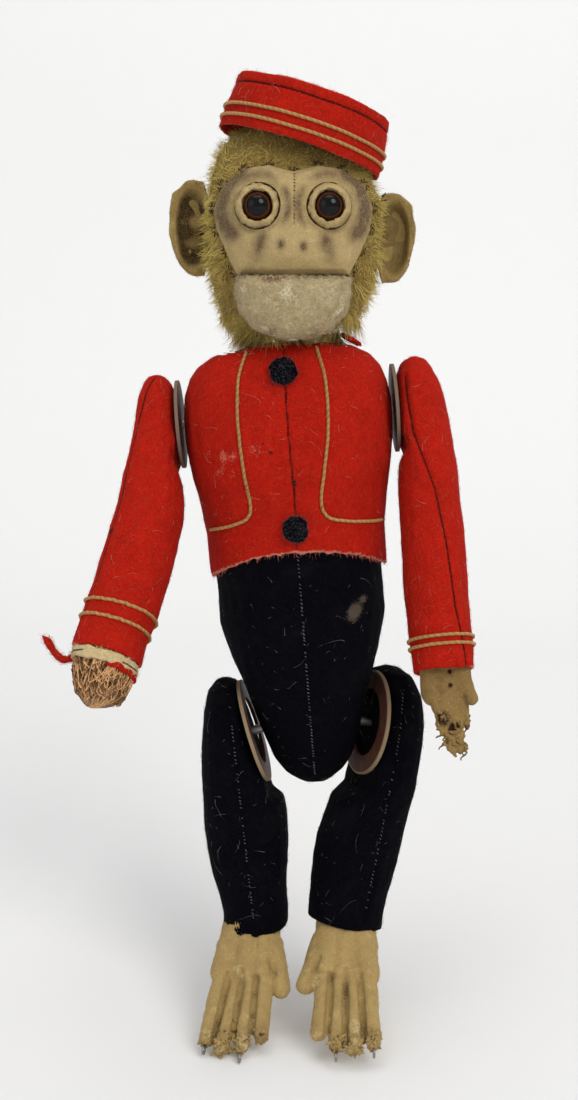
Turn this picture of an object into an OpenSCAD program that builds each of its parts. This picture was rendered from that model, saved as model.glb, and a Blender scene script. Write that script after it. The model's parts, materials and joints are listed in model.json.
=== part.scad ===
// Jointed stuffed toy monkey in a page-boy suit: felt skins over wood wool,
// disc joints at the shoulders and hips, and a head that turns and nods with the tail.
// Row frame: origin at the middle of the waist, +Z up, the toy faces -Y.
// "Right" and "left" are the toy's own right (-X) and left (+X).

/* [Torso] */
// Lean of the torso towards the toy's right, in degrees
lean = 4.4; // [0:0.2:6]
// Half width of the chest at its widest
chest_half_w = 35.6; // [35:0.1:36]
// Depth of the chest in front of the middle plane
chest_front = 27.5; // [26:0.5:29]
// Depth of the back behind the middle plane
chest_back = 24; // [22.5:0.5:25]
// Thickness of the felt skins
felt = 1.4; // [1:0.1:1.6]
// How far the jacket's hem rises at the middle of the front
hem_rise = 9.5; // [4:0.5:12]
// Height of the shoulder axis above the waist
shoulder_z = 25; // [24:0.5:26]
// Height of the hip axis below the waist
hip_z = -85; // [-86:0.5:-84]

/* [Head] */
// Half width of the plush head
head_half_w = 29.3; // [28.5:0.1:30]
// Diameter of a glass eye
eye_d = 9.6; // [8:0.2:10]
// Distance of each eye from the middle of the face
eye_x = 11.4; // [10.5:0.1:12]
// Height of the eyes
eye_z = 92.4; // [91:0.2:94]
// Radius of the hat at its lower edge
hat_r_low = 28; // [27.8:0.1:29]
// Radius of the hat at its upper edge
hat_r_top = 26.2; // [25:0.1:27.5]
// Height of the hat
hat_h = 18; // [17:0.5:22]
// Tilt of the hat towards the toy's left, in degrees
hat_tilt = 17.3; // [14:0.1:19]

/* [Arms] */
// Forward swing of the right arm from hanging, in degrees
arm_swing_right = 30; // [25:1:34]
// Forward swing of the left arm from hanging, in degrees
arm_swing_left = 20; // [20:1:26]
// Radius of the dark washer between jacket and sleeve
washer_r = 15; // [13:0.5:15.5]

/* [Legs] */
// Outward turn of the right leg's joint, in degrees
leg_turn_right = 1; // [0:1:4]
// Outward turn of the left leg's joint, in degrees
leg_turn_left = 18; // [14:1:20]
// Forward swing of both legs from hanging, in degrees
leg_swing = 6; // [2:1:8]
// Downward slope of the feet, in degrees
foot_slope = 35; // [25:1:45]
// Slope of the torso's side under the right hip disc, in degrees
hip_slope_right = 13; // [12:0.5:14]
// Slope of the loosened left hip disc, in degrees
hip_slope_left = 17; // [16:0.5:17.5]
// Outer radius of the hip ring
ring_r = 18.5; // [17:0.5:18.5]
// Radius of the hole in the hip ring
ring_hole_r = 12; // [10:0.5:13]

/* [Mechanism] */
// Radius of the head shaft
shaft_r = 2.5; // [2:0.1:3]
// Radius of the joint pins
pin_r = 1.6; // [1.2:0.1:1.8]
// Height of the nodding axle in the head
nod_z = 64; // [63:0.5:65]
// Height of the tail's pivot
tail_z = -46; // [-48:0.5:-44]
// Distance of the nod rod in front of the shaft
crank_r = 8; // [7:0.5:8.5]
// Radius of the plush tail
tail_r = 4.2; // [3:0.2:4.4]

/* [Hidden] */

// Gap kept between soft pieces, and the running clearance of a pin in its hole
gap = 0.3;
run = 0.05;
// The shaft stands a little behind the middle of the torso
shaft_y = 4;
// Corners around the torso and head, and around a limb
n_body = 28;
n_limb = 20;
// Power that makes a section slightly squarer than an ellipse
square_power = 0.9;
// Height of the jacket's hem at its sides
hem_z = -28;
// Distance from the middle to each shoulder washer and hip joint
washer_x = 36.1;
hip_x_right = 21.2;
hip_x_left = 20.6;
washer_t = 1.1;
disc_t = 1.5;
ring_t = 1.2;
FREE = 99;

// Outline of the torso, top to bottom: height, then width, front and back as parts of the chest's
TORSO = [[50.0, 0.35, 0.44, 0.52], [49.0, 0.47, 0.50, 0.60], [47.2, 0.67, 0.58, 0.71],
    [44.0, 0.82, 0.69, 0.82], [40.0, 0.91, 0.80, 0.90], [34.0, 0.975, 0.91, 0.96],
    [27.0, 1.0, 0.97, 1.0], [19.0, 1.0, 1.0, 1.0], [9.0, 0.97, 1.0, 0.98],
    [-1.0, 0.915, 0.985, 0.96], [-14.0, 0.865, 0.98, 0.94], [-28.0, 0.86, 0.99, 0.94],
    [-44.0, 0.81, 0.97, 0.93], [-57.0, 0.72, 0.93, 0.90], [-66.0, 0.63, 0.88, 0.86],
    [-75.0, 0.56, 0.81, 0.80], [-85.0, 0.49, 0.69, 0.70], [-94.0, 0.405, 0.55, 0.57],
    [-100.0, 0.295, 0.38, 0.40], [-103.5, 0.16, 0.21, 0.22], [-104.6, 0.05, 0.07, 0.07]];

// Outline of the head: height, sideways shift, half width as a part of the head's, front, back
HEAD = [[124.5, -5.0, 0.13, 4, 5], [122.0, -4.5, 0.36, 10, 12], [117.0, -3.2, 0.60, 16, 18],
    [111.0, -1.8, 0.80, 20, 22], [104.0, -0.6, 0.91, 22.5, 24.5], [96.0, 0, 0.98, 24, 26],
    [86.0, 0, 1.0, 24, 26.5], [75.0, 0, 0.975, 22.5, 25.5], [66.0, -0.3, 0.90, 20, 23],
    [58.0, -1.0, 0.78, 17.5, 20], [52.9, -2.0, 0.59, 14.5, 17], [52.0, -2.4, 0.49, 12.8, 15.5]];

// Outline of the face, right half, from the brow round to the middle of the mouth seam
FACE_HALF = [[0, 103.4], [8, 105.4], [16, 104.4], [22.8, 100], [26, 93], [25, 86], [22, 79],
    [19.4, 73.4], [18.4, 71.4], [9, 71.2], [0, 71.2]];
MUZZLE_HALF = [[0, 70.8], [9, 70.8], [18.6, 70.6], [19, 66], [17.4, 59.5], [12.5, 54], [6, 51.2], [0, 50.6]];

// Sleeves and legs in their joint's frame, x outward from the middle or from the disc:
// height, inner side, outer side, front, back, flat inner face, tilt of the section
ARM_RIGHT = [[17, 42, 46, 3.5, 3.5, 41, 0], [14.5, 39, 48.6, 9, 9, 37.5, 0], [8, 36.8, 50.8, 13.6, 13.6, 37.5, 0],
    [0, 36, 52, 15.4, 15.4, 37.5, 0], [-10, 36, 54, 15.4, 15.4, 37.5, 2], [-20, 36.2, 56.4, 14.6, 14.6, 37.2, 5],
    [-34, 37, 59.6, 13.6, 13.6, 0, 11], [-50, 41.4, 64.6, 13, 13, 0, 17], [-66, 46.8, 69.8, 12.6, 12.6, 0, 19],
    [-81, 52.2, 74.6, 12.3, 12.3, 0, 19]];
ARM_LEFT = [[17, 42.5, 46.5, 3.5, 3.5, 41, 0], [14.5, 39.4, 49.2, 9, 9, 37.5, 0],
    [8, 36.8, 52, 13.6, 13.6, 37.5, 0],
    [0, 36, 53.8, 15.6, 15.6, 37.5, 0], [-10, 36, 54.9, 15.6, 15.6, 37.5, 0],
    [-20, 35.8, 55.5, 14.8, 14.8, 36.6, 0], [-34, 35, 55.8, 13.8, 13.8, 0, 0], [-55, 34.4, 55.8, 13, 13, 0, 0],
    [-75, 34.4, 55.4, 12.6, 12.6, 0, 0], [-91, 34.8, 54.8, 12.4, 12.4, 0, 0]];
LEG_RIGHT = [[21, 3, 6.6, 3.5, 3.5, 0, 0], [18.6, -1, 10, 10, 10, 0.2, 0], [12, -2, 13.8, 15.6, 15.6, 0, 0],
    [2, -2, 17.8, 18.2, 18.2, 0, 0], [-8, -2, 21, 18, 18, 0, 0], [-19.4, -3, 24, 17.2, 17.2, 0, -2],
    [-27, -4.4, 26.4, 16.2, 16, -FREE, -5], [-38, -2.6, 28.2, 15, 15, -FREE, -9],
    [-50, 0.6, 28.6, 13.8, 13.8, -FREE, -11], [-58, 4.4, 29, 12.4, 12.6, -FREE, -6],
    [-63, 6, 30, 12.2, 12.2, -FREE, 2], [-68, 8, 31.2, 12.6, 12.6, -FREE, 8]];
LEG_LEFT = [[21, 3, 7.2, 3.5, 3.5, 0, 0], [18.6, -1, 11.6, 10, 10, 0.2, 0], [12, -2, 15.4, 15.6, 15.6, 0, 0],
    [2, -2, 18, 18.2, 18.2, 0, 0], [-8, -2.6, 18.6, 18, 18, 0, 0], [-19, -4, 18.8, 17.2, 17.2, 0, 0],
    [-27, -8, 18.8, 16.2, 16, -FREE, 0], [-42, -10.8, 18, 15, 15, -FREE, 0],
    [-56, -11, 16.8, 13.6, 13.6, -FREE, 0], [-64, -10.2, 16.2, 12.8, 12.8, -FREE, 0],
    [-70.6, -9.4, 16.6, 12.8, 12.8, -FREE, 0]];

// Lapel braids on the front of the jacket: sideways distance and height
LAPEL_RIGHT = [[-11.8, 47.6], [-14.6, 40], [-15.8, 30], [-15.9, 20], [-15.2, 8], [-14.1, -1.5], [-15.2, -5.8],
    [-19.5, -8], [-28.4, -10.4]];
LAPEL_LEFT = [[11.2, 47.4], [13, 38], [13.2, 28], [12.4, 18], [10.6, 8], [9, -1.5], [9.8, -6.2], [14, -8.8],
    [28.8, -11.6]];

function sgn(v) = v < 0 ? -1 : 1;
function mix(a, b, t) = a + (b - a) * t;
function clamp(v, lo, hi) = min(max(v, lo), hi);
// Smooth curve through four neighbouring values
function spline(a, b, c, d, t) = 0.5 * (2 * b + (c - a) * t + (2 * a - 5 * b + 4 * c - d) * t * t
    + (3 * b - a - 3 * c + d) * t * t * t);
// One row between rows i and i+1 of an outline, with its height kept even
function row_between(rows, i, t) = [for (k = [0 : len(rows[0]) - 1])
    k == 0 ? mix(rows[i][0], rows[i + 1][0], t)
    : abs(rows[i][k]) >= FREE || abs(rows[i + 1][k]) >= FREE ? rows[i][k]
    : spline(rows[max(i - 1, 0)][k] <= -FREE ? rows[i][k] : rows[max(i - 1, 0)][k], rows[i][k], rows[i + 1][k],
        rows[min(i + 2, len(rows) - 1)][k] <= -FREE ? rows[i + 1][k] : rows[min(i + 2, len(rows) - 1)][k], t)];
// The outline's row at height z, for rows that run downwards
function segment_at(rows, z) = len([for (k = [1 : len(rows) - 2]) if (z < rows[k][0]) k]);
function row_at(rows, z) = let (q = clamp(z, rows[len(rows) - 1][0], rows[0][0]), i = segment_at(rows, q))
    row_between(rows, i, (rows[i][0] - q) / (rows[i][0] - rows[i + 1][0]));
// All rows of an outline with m steps between neighbours
function refined(rows, m) = [for (i = [0 : len(rows) - 2]) for (j = [0 : m - 1]) row_between(rows, i, j / m),
    rows[len(rows) - 1]];
function round_pow(v) = sgn(v) * pow(abs(v), square_power);

// Share of the hem's rise at angle a: most at the front, a little at the back
function hem_share(a) = sin(a) < 0 ? pow(-sin(a), 1.5) : 0.3 * pow(sin(a), 1.5);
function hem_at(a) = hem_z + hem_rise * hem_share(a);
function torso_w(z) = row_at(TORSO, z)[1] * chest_half_w;
function torso_f(z) = row_at(TORSO, z)[2] * chest_front;
function torso_b(z) = row_at(TORSO, z)[3] * chest_back;
// Height of the jacket's front surface: its y at a place on the front
function torso_y(x, z) = -torso_f(z)
    * pow(max(0, 1 - pow(abs(x) / torso_w(z), 2 / square_power)), square_power / 2);
// A torso ring pulled in by inset, with its height raised by lift at the front
function torso_ring(z, inset, lift) = let (w = torso_w(z), f = torso_f(z), b = torso_b(z))
    [for (i = [0 : n_body - 1]) let (a = 360 * i / n_body)
        [max(w - inset, w * 0.4) * round_pow(cos(a)),
            (sin(a) < 0 ? max(f - inset, f * 0.4) : max(b - inset, b * 0.4)) * round_pow(sin(a)),
            z + lift * hem_share(a)]];
function hem_lift(z) = hem_rise * pow(clamp((2 - z) / 30, 0, 1), 2);
// The trousers tuck under the jacket above the hem
function seat_ring(z, inset) = let (w = torso_w(z), f = torso_f(z), b = torso_b(z))
    [for (i = [0 : n_body - 1]) let (a = 360 * i / n_body,
        tuck = (felt + gap) * clamp((z - hem_at(a) + 6) / 4, 0, 1) + inset)
        [max(w - tuck, w * 0.4) * round_pow(cos(a)),
            (sin(a) < 0 ? max(f - tuck, f * 0.4) : max(b - tuck, b * 0.4)) * round_pow(sin(a)), z]];
// A head ring: s is a row of HEAD
function head_ring(s, inset) = let (w = s[2] * head_half_w)
    [for (i = [0 : n_body - 1]) let (a = 360 * i / n_body)
        [s[1] + max(w - inset, w * 0.5) * round_pow(cos(a)),
            2 + (sin(a) < 0 ? max(s[3] - inset, s[3] * 0.5) : max(s[4] - inset, s[4] * 0.5)) * round_pow(sin(a)),
            s[0]]];
function head_y(x, z) = let (s = row_at(HEAD, z), w = s[2] * head_half_w)
    2 - s[3] * pow(max(0, 1 - pow(min(1, abs(x - s[1]) / w), 2 / square_power)), square_power / 2);
// A limb ring: s is a row of an arm or leg outline
function limb_ring(s, inset) = let (cx = (s[1] + s[2]) / 2, rx = (s[2] - s[1]) / 2, t = s[6])
    [for (i = [0 : n_limb - 1]) let (a = 360 * i / n_limb,
        u = max(cx + max(rx - inset, rx * 0.4) * round_pow(cos(a)), s[5] + inset) - cx,
        v = (sin(a) < 0 ? max(s[3] - inset, s[3] * 0.4) : max(s[4] - inset, s[4] * 0.4)) * round_pow(sin(a)))
        [cx + u * cos(t), v, s[0] + u * sin(t)]];

function flat_list(l) = [for (r = l) for (p = r) p];
function middle(r) = [for (k = [0 : 2]) let (v = [for (p = r) p[k]]) (min(v) + max(v)) / 2];
function wall_faces(m, n, at, flip) = [for (k = [0 : m - 2]) for (i = [0 : n - 1])
    let (u = at + k * n + i, v = at + k * n + (i + 1) % n, p = v + n, q = u + n)
    each flip ? [[u, p, v], [u, q, p]] : [[u, v, p], [u, p, q]]];
function cap_faces(n, at, tip, flip) = [for (i = [0 : n - 1]) let (u = at + i, v = at + (i + 1) % n)
    flip ? [tip, u, v] : [tip, v, u]];
function rim_faces(n, a, b, flip) = [for (i = [0 : n - 1]) let (j = (i + 1) % n)
    each flip ? [[a + i, a + j, b + j], [a + i, b + j, b + i]] : [[a + i, b + j, a + j], [a + i, b + i, b + j]]];

// Closed solid through rings that run from its top down
module loft(rings) {
    n = len(rings[0]);
    m = len(rings);
    points = concat(flat_list(rings), [middle(rings[0]), middle(rings[m - 1])]);
    polyhedron(points, concat(wall_faces(m, n, 0, false), cap_faces(n, 0, m * n, false),
        cap_faces(n, (m - 1) * n, m * n + 1, true)), convexity = 6);
}

// Skin between outer and inner rings, open or closed at its top and bottom
module skin(outer, inner, top_open, bottom_open) {
    n = len(outer[0]);
    m = len(outer);
    k = m * n;
    points = concat(flat_list(outer), flat_list(inner),
        [middle(outer[0]), middle(inner[0]), middle(outer[m - 1]), middle(inner[m - 1])]);
    top = top_open ? rim_faces(n, 0, k, false)
        : concat(cap_faces(n, 0, 2 * k, false), cap_faces(n, k, 2 * k + 1, true));
    low = bottom_open ? rim_faces(n, k - n, 2 * k - n, true)
        : concat(cap_faces(n, k - n, 2 * k + 2, true), cap_faces(n, 2 * k - n, 2 * k + 3, false));
    used = concat(wall_faces(m, n, 0, false), wall_faces(m, n, k, true), top, low);
    // A closed end's middle points stay; an open end has none
    keep = concat([for (i = [0 : 2 * k - 1]) i], top_open ? [] : [2 * k, 2 * k + 1],
        bottom_open ? [] : [2 * k + 2, 2 * k + 3]);
    shift = top_open ? 2 : 0;
    polyhedron([for (i = keep) points[i]],
        [for (f = used) [for (v = f) v >= 2 * k ? v - shift : v]], convexity = 8);
}

// Directions across a path at point i, for a braid laid on a surface
function along(p, i, closed) = let (n = len(p), a = closed ? p[(i + n - 1) % n] : p[max(i - 1, 0)],
    b = closed ? p[(i + 1) % n] : p[min(i + 1, n - 1)]) (b - a) / norm(b - a);
function across(t) = let (c = cross(t, abs(t[1]) > 0.9 ? [1, 0, 0] : [0, 1, 0])) c / norm(c);
function braid_ring(p, i, r, sides, closed) = let (t = along(p, i, closed), u = across(t), v = cross(t, u))
    [for (k = [0 : sides - 1]) p[i] + r * cos(360 * k / sides) * u + r * sin(360 * k / sides) * v];

// Round cord along an open path
module open_cord(p, r) {
    loft([for (i = [len(p) - 1 : -1 : 0]) braid_ring(p, i, r, 6, false)]);
}

// Round cord along a closed loop of points about the limb's length
module loop_cord(p, r) {
    n = len(p);
    sides = 6;
    points = [for (i = [0 : n - 1]) for (k = [0 : sides - 1])
        let (c = middle(p), o = [p[i][0] - c[0], p[i][1] - c[1], 0], d = o / norm(o))
        p[i] + r * cos(360 * k / sides) * d + [0, 0, r * sin(360 * k / sides)]];
    polyhedron(points, [for (i = [0 : n - 1]) for (k = [0 : sides - 1])
        let (j = (i + 1) % n, q = (k + 1) % sides, a = i * sides + k, b = i * sides + q,
            c = j * sides + q, d = j * sides + k)
        each [[a, b, c], [a, c, d]]], convexity = 6);
}

// A cushion-like plate: an outline seen from the front, with a front and a back surface
function outline_of(half) = concat([for (p = half) [-p[0], p[1]]],
    [for (i = [len(half) - 2 : -1 : 1]) half[i]]);

module leaned() { rotate([0, -lean, 0]) children(); }
module at_shaft() { leaned() translate([0, shaft_y, 0]) children(); }
module x_rod(r, x0, x1) { translate([x0, 0, 0]) rotate([0, 90, 0]) cylinder(r = r, h = x1 - x0, $fn = 32); }
module x_ring(r, hole, x0, x1) {
    difference() {
        x_rod(r, x0, x1);
        x_rod(hole, x0 - 1, x1 + 1);
    }
}
// The two sides of the toy: the right one is the mirror of the left one
module side(s) { if (s < 0) mirror([1, 0, 0]) children(); else children(); }
module at_shoulder(s) { leaned() translate([0, 0, shoulder_z]) side(s) children(); }
module at_arm(s) {
    at_shoulder(s) rotate([s < 0 ? -arm_swing_right : -arm_swing_left, 0, 0]) children();
}
module at_hip(s) {
    leaned() side(s) translate([s < 0 ? hip_x_right : hip_x_left, 0, hip_z])
        rotate([-leg_swing, s < 0 ? hip_slope_right : hip_slope_left, s < 0 ? leg_turn_right : leg_turn_left])
            children();
}

// ---- torso -------------------------------------------------------------------------------

module jacket() {
    rows = [for (s = TORSO) if (s[0] >= hem_z) s[0]];
    color("firebrick") leaned() difference() {
        skin([for (z = rows) torso_ring(z, 0, hem_lift(z))], [for (z = rows) torso_ring(z, felt, hem_lift(z))],
            true, true);
        for (s = [-1, 1]) side(s) translate([0, 0, shoulder_z]) x_rod(pin_r + gap, 25, 40);
        translate([0, shaft_y, tube_top - gap]) cylinder(r = tube_r + gap, h = 10, $fn = 48);
    }
}

module trouser_seat() {
    tops = [-9, -16];
    rows = concat(tops, [for (s = TORSO) if (s[0] < -22) s[0]]);
    low = TORSO[len(TORSO) - 1][0];
    color("#14151d") difference() {
        leaned() skin([for (z = rows) seat_ring(z, 0)],
            [for (z = rows) [for (p = seat_ring(z, felt)) [p[0], p[1], max(p[2], low + felt)
                + 0.02 * (z - low)]]], true, false);
        leaned() tail_slot();
        for (s = [-1, 1]) at_hip(s) x_rod(pin_r + gap, -14, 4);
    }
}

// The opening in the seat through which the tail moves
module tail_slot() {
    slot_half_w = 10;
    slot_half_h = 9;
    translate([-slot_half_w, shaft_y + 8, tail_z + 0.5 - slot_half_h]) cube([2 * slot_half_w, 20, 2 * slot_half_h]);
    for (s = [-1, 1]) translate([s * slot_half_w, shaft_y + 8, tail_z + 0.5]) rotate([-90, 0, 0])
        cylinder(r = slot_half_h, h = 20, $fn = 32);
}

module torso_stuffing() {
    cavity_r = 13.5;
    rows = [for (s = TORSO) if (s[0] < 48 && s[0] > -103) s[0]];
    color("burlywood") difference() {
        leaned() loft([for (z = rows) seat_ring(z, felt + gap + (z > -12 ? 0.4 : 0))]);
        at_shaft() translate([0, 0, -33]) cylinder(r = tube_r + gap, h = 90, $fn = 48);
        at_shaft() translate([0, 0, tail_z - 14]) cylinder(r = cavity_r, h = 14 - tail_z - 32, $fn = 48);
        leaned() tail_slot();
        for (s = [-1, 1]) {
            at_shoulder(s) x_rod(disc_r + gap, disc_x - gap, 40);
            at_shoulder(s) x_rod(pin_r + 2.6, 18, 40);
            at_hip(s) x_rod(hip_disc_r + gap, hip_disc_x - gap, 10);
            at_hip(s) x_rod(pin_r + 2.6, -16.4, 4);
        }
    }
}

disc_r = 12;
disc_x = 28.6;
hip_disc_r = 6;
hip_disc_x = -8.8;
tube_r = 11.5;
tube_top = 47;
tube_low = -31;

module frame_tube() {
    color("silver") at_shaft() translate([0, 0, tube_low]) difference() {
        cylinder(r = tube_r, h = tube_top - tube_low, $fn = 48);
        translate([0, 0, -1]) cylinder(r = tube_r - 1, h = tube_top - tube_low + 2, $fn = 48);
    }
}

// Slot in a bearing plate through which the nod rod passes as the shaft turns
module rod_slot(h) {
    half_turn = 42;
    rotate([0, 0, -90 - half_turn]) rotate_extrude(angle = 2 * half_turn, $fn = 64)
        translate([crank_r - 1.5, -1]) square([3, h + 2]);
}

module bearing_plate(r, h) {
    difference() {
        cylinder(r = r, h = h, $fn = 64);
        translate([0, 0, -1]) cylinder(r = shaft_r + run, h = h + 2, $fn = 48);
        rod_slot(h);
    }
}

module neck_plate() {
    color("silver") at_shaft() translate([0, 0, tube_top]) bearing_plate(tube_r, 1.6);
}

module lower_bearing() {
    color("silver") at_shaft() translate([0, 0, tube_low - 1.6]) bearing_plate(tube_r - 1.2, 1.6);
}

// Stub of the lost collar at the left of the neck
module collar_stub() {
    color("firebrick") leaned() translate([24.4, 2, 48.6]) rotate([8, 32, 12]) difference() {
        translate([-4.4, -3.6, -0.7]) cube([8.8, 7.2, 1.4]);
        translate([3, -5, -1]) rotate([0, 0, 24]) cube([5, 12, 3]);
    }
}

braid_r = 0.75;
function lapel_path(rows) = [for (i = [0 : len(rows) - 2]) for (j = [0 : 1])
    let (a = rows[max(i - 1, 0)], b = rows[i], c = rows[i + 1], d = rows[min(i + 2, len(rows) - 1)],
        x = spline(a[0], b[0], c[0], d[0], j / 2), z = spline(a[1], b[1], c[1], d[1], j / 2))
    [x, torso_y(x, z) - braid_r - 0.1, z]];
module lapel_cord(rows) { color("goldenrod") leaned() open_cord(lapel_path(rows), braid_r); }
module lapel_cord_right() { lapel_cord(LAPEL_RIGHT); }
module lapel_cord_left() { lapel_cord(LAPEL_LEFT); }

module jacket_buttons() {
    color("#15161c") leaned() {
        translate([-0.2, torso_y(0, 40.6) - 0.7, 40.6]) rotate([68, 0, 0]) cylinder(r = 4.3, h = 2, $fn = 32);
        translate([0, torso_y(0, -10.4) - 0.3, -10.4]) rotate([90, 0, 0]) cylinder(r = 4, h = 2.4, $fn = 32);
    }
}

module shoulder_discs() {
    color("dimgray") for (s = [-1, 1]) at_shoulder(s) x_ring(disc_r, pin_r, disc_x, disc_x + disc_t);
}

// Cotter pin: a flat eye inside the torso, a straight shank and a spread end
module cotter(x_eye, x_end) {
    eye_r = pin_r * 1.9;
    eye_t = pin_r * 1.1;
    difference() {
        union() {
            x_rod(pin_r, x_eye, x_end);
            translate([x_eye - eye_r + 0.8, eye_t / 2, 0]) rotate([90, 0, 0]) cylinder(r = eye_r, h = eye_t, $fn = 32);
        }
        translate([x_eye - eye_r + 0.8, eye_t, 0]) rotate([90, 0, 0])
            cylinder(r = eye_r * 0.5, h = 2 * eye_t, $fn = 32);
    }
    translate([x_end - 1.1, 0, -4]) cylinder(r = 0.7, h = 8, $fn = 16);
}

pin_end = 43.3;
module shoulder_pins() { color("silver") for (s = [-1, 1]) at_shoulder(s) cotter(24.5, pin_end); }
module hip_discs() {
    color("dimgray") for (s = [-1, 1]) at_hip(s) x_ring(hip_disc_r, pin_r, hip_disc_x, hip_disc_x + disc_t);
}
module hip_pins() { color("silver") for (s = [-1, 1]) at_hip(s) cotter(-10.2, 5.4); }

// ---- head shaft, nod rod and tail --------------------------------------------------------

block_w = 6;
block_d = 7;
block_h = 9;
axle_r = 1.5;

module head_shaft() {
    color("silver") at_shaft() difference() {
        union() {
            translate([0, 0, tail_z + 3]) cylinder(r = shaft_r, h = nod_z - tail_z - 6, $fn = 48);
            for (z = [tail_z, nod_z]) translate([-block_w / 2, -block_d / 2, z - block_h / 2])
                cube([block_w, block_d, block_h]);
        }
        for (z = [tail_z, nod_z]) translate([0, 0, z]) x_rod(axle_r + run, -block_w, block_w);
    }
}

module shaft_collar() {
    color("silver") at_shaft() translate([0, 0, tube_low + 0.3]) difference() {
        cylinder(r = 5, h = 4, $fn = 48);
        translate([0, 0, -1]) cylinder(r = shaft_r, h = 6, $fn = 48);
    }
}

module swivel_disc() {
    disc_z = tube_top + 1.9;
    color("dimgray") at_shaft() translate([0, 0, disc_z]) difference() {
        cylinder(r = 9.2, h = 1.4, $fn = 48);
        translate([0, 0, -1]) cylinder(r = shaft_r, h = 4, $fn = 48);
        translate([rod_x, -crank_r, -1]) cylinder(r = rod_r + 0.4, h = 4, $fn = 24);
    }
}

rod_r = 0.9;
rod_x = 1.6;
hook_r = 0.7;
module nod_rod() {
    color("silver") at_shaft() translate([0, -crank_r, 0]) {
        translate([rod_x, 0, tail_z]) cylinder(r = rod_r, h = nod_z - tail_z, $fn = 24);
        for (z = [tail_z, nod_z]) {
            translate([0, 0, z]) x_rod(hook_r, rod_x, 6.4);
            translate([rod_x, 0, z]) sphere(r = rod_r, $fn = 24);
        }
    }
}

// A cheek plate beside a shaft block, with a hole for the axle and a crank hole in front
module cheek(x0, h_up, h_low, crank) {
    thick = 1.2;
    difference() {
        union() {
            translate([x0, -4, -h_low]) cube([thick, 8, h_low + h_up]);
            if (crank) translate([x0, -crank_r - 2.6, -2.6]) cube([thick, crank_r, 5.2]);
        }
        x_rod(axle_r, -10, 10);
        if (crank) translate([0, -crank_r, 0]) x_rod(hook_r + 0.5, -10, 10);
    }
}

bracket_top = 11;
module head_bracket() {
    color("silver") at_shaft() translate([0, 0, nod_z]) {
        cheek(3.6, bracket_top, 3.4, true);
        cheek(-4.8, bracket_top, 3.4, false);
        translate([0, 0, bracket_top]) cylinder(r = 9.5, h = 1.2, $fn = 48);
    }
}

module nod_axle() {
    color("silver") at_shaft() translate([0, 0, nod_z]) {
        x_rod(axle_r, -6, 6);
        for (x = [-6, 4.9]) x_rod_head(x);
    }
}
module x_rod_head(x) { x_rod(2.4, x, x + 1.1); }

module tail_lever() {
    color("silver") at_shaft() translate([0, 0, tail_z]) {
        cheek(3.6, 3, 3, true);
        cheek(-4.8, 3, 3, false);
        x_rod(axle_r, -4.4, 4.4);
        for (x = [3.6, -4.8]) translate([x, 3.6, -3]) cube([1.2, 4.6, 6]);
        translate([-4.8, 6.8, -3]) cube([9.6, 1.4, 6]);
        tail_route(1.2, 7.6);
    }
}

// The tail's curve: straight out of the seat, up, then over backwards
tail_straight = 21;
tail_bend_r = 16;
tail_curl_r = 13;
bend_end = 20;
module arc_tube(bend_r, r, a0, a1) {
    rotate([90, 0, 90]) rotate([0, 0, a0]) rotate_extrude(angle = a1 - a0, $fn = 64)
        translate([bend_r, 0]) circle(r = r, $fn = 24);
}
module tail_route(r, start_y) {
    translate([0, start_y, 0]) rotate([-90, 0, 0]) cylinder(r = r, h = tail_straight - start_y, $fn = 24);
    translate([0, tail_straight, tail_bend_r]) arc_tube(tail_bend_r, r, -90, bend_end);
}
module tail_plush() {
    end = [0, tail_straight + tail_bend_r * cos(bend_end), tail_bend_r * (1 + sin(bend_end))];
    curl_mid = end + tail_curl_r * [0, cos(bend_end), sin(bend_end)];
    color("darkkhaki") at_shaft() translate([0, 0, tail_z]) {
        difference() {
            tail_route(tail_r, 13);
            tail_route(1.2, 12.9);
        }
        translate(curl_mid) arc_tube(tail_curl_r, tail_r, 100, 180 + bend_end);
    }
}

// ---- head --------------------------------------------------------------------------------

module skull_plush() {
    rows = refined(HEAD, 1);
    top = HEAD[0][0];
    color("darkkhaki") skin([for (s = rows) head_ring(s, 0)],
        [for (s = rows) [for (p = head_ring(s, felt)) [p[0], p[1], min(p[2], top - felt) - 0.02 * (top - s[0])
            + (s[0] < 52.5 ? 1.45 : 0)]]], false, true);
}

module head_stuffing() {
    inner = [for (s = HEAD) if (s[0] < 123 && s[0] > 55) s];
    color("burlywood") difference() {
        loft([for (s = inner) [for (p = head_ring(s, felt + gap + 0.3)) [p[0], p[1], min(p[2], 120.5)
            - 0.02 * (124.5 - s[0])]]]);
        at_shaft() translate([0, 0, 40]) cylinder(r = 12.5, h = nod_z + bracket_top + 1.6 - 40, $fn = 48);
    }
}

// Rings of a plate from its middle in front, out to its rim and back to its middle behind
function plate_rings(line, mid, y_front, y_back, steps) = concat(
    [for (t = steps) [for (i = [0 : len(line) - 1]) let (p = mix(mid, line[i], t))
        [p[0], y_front(p[0], p[1], t), p[1]]]],
    [for (k = [len(steps) - 1 : -1 : 0]) [for (i = [0 : len(line) - 1]) let (p = mix(mid, line[i], steps[k]))
        [p[0], y_back(p[0], p[1], steps[k]), p[1]]]]);

module face() {
    pad = 3.4;
    line = outline_of(FACE_HALF);
    front = function (x, z, t) head_y(x, z) - 0.3 - pad * pow(1 - pow(t, 4), 0.5) - 0.9;
    back = function (x, z, t) head_y(x, z) - 0.35;
    color("tan") difference() {
        loft(plate_rings(line, [0, 88], front, back, [0.12, 0.4, 0.7, 0.9, 1]));
        for (s = [-1, 1]) at_eye(s) translate([0, 0, -6]) cylinder(r = lid_r + 0.25, h = 20, $fn = 40);
    }
}

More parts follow.
